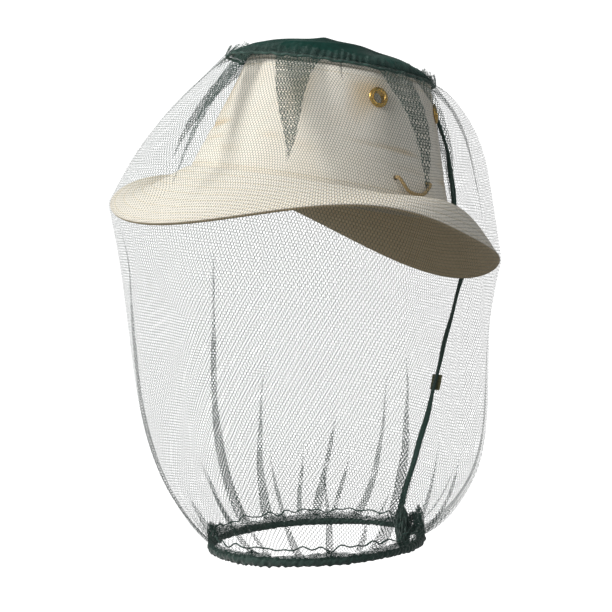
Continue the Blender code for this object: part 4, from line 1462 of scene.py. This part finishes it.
# %% Label
def label_cloth():
    """Woven label: fine cross ribs, darker between them as painted shade, olive, with no lettering."""
    made, shader, start = material("woven_label", Roughness=0.65, Sheen_Weight=0.2)
    _, _, along = cloth_lengths(start)
    rib = (along * (math.pi / 0.0005)).sine().size()
    # Painted shade: half the colour follows the ribs and is darker between them. The other half is the
    # label's own uneven tone.
    mix = rib * 0.5 + noise(start, object_place(start), 500, 2.0) * 0.5
    feed(shader, Base_Color=mix.between((0.07, 0.065, 0.02), (0.24, 0.22, 0.085)),
         Normal=bumped(rib, 0.0002, 0.6))
    return made


label_rows, label_columns = np.linspace(-1, 1, 20), np.linspace(-1, 1, 12)
down, across = np.meshgrid(label_rows, label_columns, indexing="ij")
label_share = 1 + LABEL_PLACE + down * LABEL_HEIGHT / 2 / SKIRT_LENGTH
label_radius = float(np.linalg.norm(net_point(np.array([SEAM_ANGLE]), np.array([1 + LABEL_PLACE]))[0, :2]))
label_angle = SEAM_ANGLE + across * LABEL_WIDTH / 2 / label_radius
curl = LABEL_OUT + 0.0006 * across ** 2 + 0.0004 * np.sin(2 * down)
label = sheet_mesh("woven_label", net_point(label_angle, label_share, curl), label_cloth(), wrap=False)
thicken(label, LABEL_THICK * 0.6, 0)
place_hanging(label, "label", "label_tab")
print("label", [round(x, 4) for x in label.dimensions])

# %% [markdown]
# ## The hem
# The foot of the tube is folded up into a channel with flat elastic inside. The elastic pulls it
# to half its length, so the channel crumples: many layers, nearly black, with a lumpy outside.
# The channel is a closed section carried round a ring: a flattened oval whose size and place
# vary quickly from point to point. A dense frill of net stands on it, and the stitched edge of
# the fold shows as a thin wavy line a little higher up.

# %% Sizes and cloth of the hem
HEM_WIDTH = 0.0062
CHANNEL_SHARE = 0.84           # of the solid's section, which leaves room for the lumps
CHANNEL_DOWN = 0.0006
CASING_FULL = math.radians(30)  # the side where the channel stands fullest
HEM_FRILL_HEIGHT, HEM_FRILL_STEP = 0.0075, 0.001
HEM_FRILL_DOWN = 0.0026        # from the top of the solid
HEM_LAYERS = ((0.10, 0.0022, 61), (-0.05, 0.0004, 62), (0.25, -0.0014, 63))  # lean, place and seed
# A tuft is its angle, how far it spreads and how much taller it is.
HEM_TUFTS = ((-50, 13, 1.5), (-25, 6, 0.5), (128, 9, 0.9), (152, 10, 2.6), (232, 7, 0.5))
hem_net = dense_net("gathered_hem_net", 0.55, (0.012, 0.048, 0.037), (0.003, 0.018, 0.014), 0.30)


def hem_cloth():
    """Crumpled dark net, many layers deep, with a rough surface: broken light and dark, darker where the
    surface dips, as painted shade.
    """
    made, shader, start = material("hem_cloth", Roughness=0.85, Sheen_Weight=0.35)
    place = object_place(start)
    fine = noise(start, place, 1300, 3.0, 0.7)
    lumps = noise(start, place, 230, 3.0, 0.6)
    # Painted shade: the colour follows the bump's noise and is darker where the surface dips. The deep green
    # is the net's own colour.
    mixed = (fine * 0.6 + lumps * 0.5).rising(0.25, 0.85)
    colour = mixed.between((0.0015, 0.009, 0.007), (0.014, 0.052, 0.040))
    feed(shader, Base_Color=colour, Normal=bumped(fine * 0.6 + lumps * 0.4, 0.0007, 0.9))
    return made


crumpled = hem_cloth()
print("hem is", round(2 * math.pi * HEM_RADIUS, 3), "m round")

# %% Hem channel
def hem_ring(angle, level=0.0, out=0.0):
    """A ring at the hem, in its own level frame."""
    return oval(2 * (HEM_RADIUS + out), 2 * (HEM_RADIUS + out), angle, level)


def crumple(angle, turn, seed, count, top):
    """Lumps round the ring and round the section, seeded."""
    pick = np.random.default_rng(seed)
    total = np.zeros_like(angle)
    for _ in range(count):
        around, section, start = pick.integers(20, 150), pick.integers(-3, 4), pick.uniform(0, START_RANGE)
        total += np.sin(around * angle + section * turn + start) / math.sqrt(count)
    return top * total


turns = np.linspace(0, -2 * math.pi, 25)
turn, angle = grid_of(turns, 900)
lump = 1 + crumple(angle, turn, 51, 12, 0.16) + 0.10 * np.sin(3 * angle + 1) + 0.08 * np.sin(7 * angle)
width = HEM_WIDTH / 2 * CHANNEL_SHARE * lump
height = HEM_HEIGHT / 2 * CHANNEL_SHARE * lump * front_to_back(angle - CASING_FULL, 1.0, 0.72)
out = width * np.sin(turn)
level = height * np.cos(turn) - CHANNEL_DOWN
casing = sheet_mesh("hem_channel", at_hem(hem_ring(angle, level, out)), crumpled, pole=True, inside_out=True)
place_piece(casing, "hem", "hem_green", "hem_casing", "hem_elastic")
print("hem channel has", len(casing.data.polygons), "faces")

# %% Frill and stitched edge of the hem
def hem_base(angle):
    """The foot of the hem's frill."""
    return hem_ring(angle, HEM_HEIGHT / 2 - HEM_FRILL_DOWN)


def hem_tufts(angle):
    """Low all round, with bell curves where the cloth bunches at the front and by the seam."""
    total = 0.55 + 0.35 * np.abs(np.sin(4.5 * angle + 0.6)) ** 3
    for place, spread, top in HEM_TUFTS:
        total = total + top * bell(away_round(angle, math.radians(place)), math.radians(spread))
    return total


def edge_base(angle):
    """The middle of the stitched edge above the hem."""
    return hem_ring(angle, 0.0088, -0.0006)


hem_place = Matrix.Translation((0, HEM_BACKSET, -HEM_DROP)) @ Matrix.Rotation(HEM_TILT, 4, "X")
for number, (lean, layer, seed) in enumerate(HEM_LAYERS):
    height = HEM_FRILL_HEIGHT - HEM_FRILL_STEP * number
    strip = frill(f"hem_frill_{number}", hem_base, height, hem_net, seed, lean, layer,
                  columns=1000, rows=8, depth=0.0012, tufts=hem_tufts)
    strip.data.transform(hem_place)
    place_piece(strip, "hem", "hem_green")

edge_points = at_hem(wavy_line(edge_base, 65, 0.0017, 0.0012))
edge_line = rope("hem_stitched_edge", edge_points, 0.00055, green_thread, around=6)
place_piece(edge_line, "hem", "hem_green")

# %% [markdown]
# ## The gathered seam end
# The back seam's last few centimetres are bunched into a knot of cloth above the hem. It is a
# closed form: an egg whose surface is pushed in and out by a sum of folded waves.

# %% Seam end
BUNCH_ANGLE = math.radians(154)
BUNCH_WIDTH, BUNCH_DEPTH, BUNCH_HEIGHT = 0.026, 0.013, 0.034
BUNCH_RISE = 0.003
BUNCH_FOLDS = 14
inset = HEM_RADIUS - HEM_WIDTH / 2 - GAP - BUNCH_DEPTH / 2 - BUNCH_WIDTH ** 2 / 8 / HEM_RADIUS
theta, phi = np.meshgrid(np.linspace(0.0, math.pi, 70), np.arange(110) * (2 * math.pi / 110), indexing="ij")
pick = np.random.default_rng(71)
fold = np.zeros_like(theta)
for _ in range(BUNCH_FOLDS):
    counts, start = pick.integers(1, 9, 2), pick.uniform(0, START_RANGE, 2)
    bend = 1.5 * np.sin(counts[1] * theta + start[1])
    fold += np.abs(np.sin(counts[0] * phi + start[0] + bend)) / BUNCH_FOLDS
bunch_size = 0.74 + 0.95 * (fold - fold.mean()) * np.sin(theta)
egg = np.stack((BUNCH_WIDTH / 2 * bunch_size * np.sin(theta) * np.cos(phi),
                -BUNCH_DEPTH / 2 * bunch_size * np.sin(theta) * np.sin(phi),
                BUNCH_HEIGHT / 2 * (0.9 + 0.2 * fold) * np.cos(theta)), -1)
seam_turn = np.array(Matrix.Rotation(BUNCH_ANGLE, 3, "Z"))
middle = oval(2 * inset, 2 * inset, BUNCH_ANGLE, BUNCH_RISE)
bunch = sheet_mesh("seam_end_bunch", at_hem(egg @ seam_turn.T + middle), crumpled, pole=True, inside_out=True)
place_piece(bunch, "hem", "hem_green", "seam_bunch")
print("bunch", [round(x, 3) for x in bunch.dimensions])
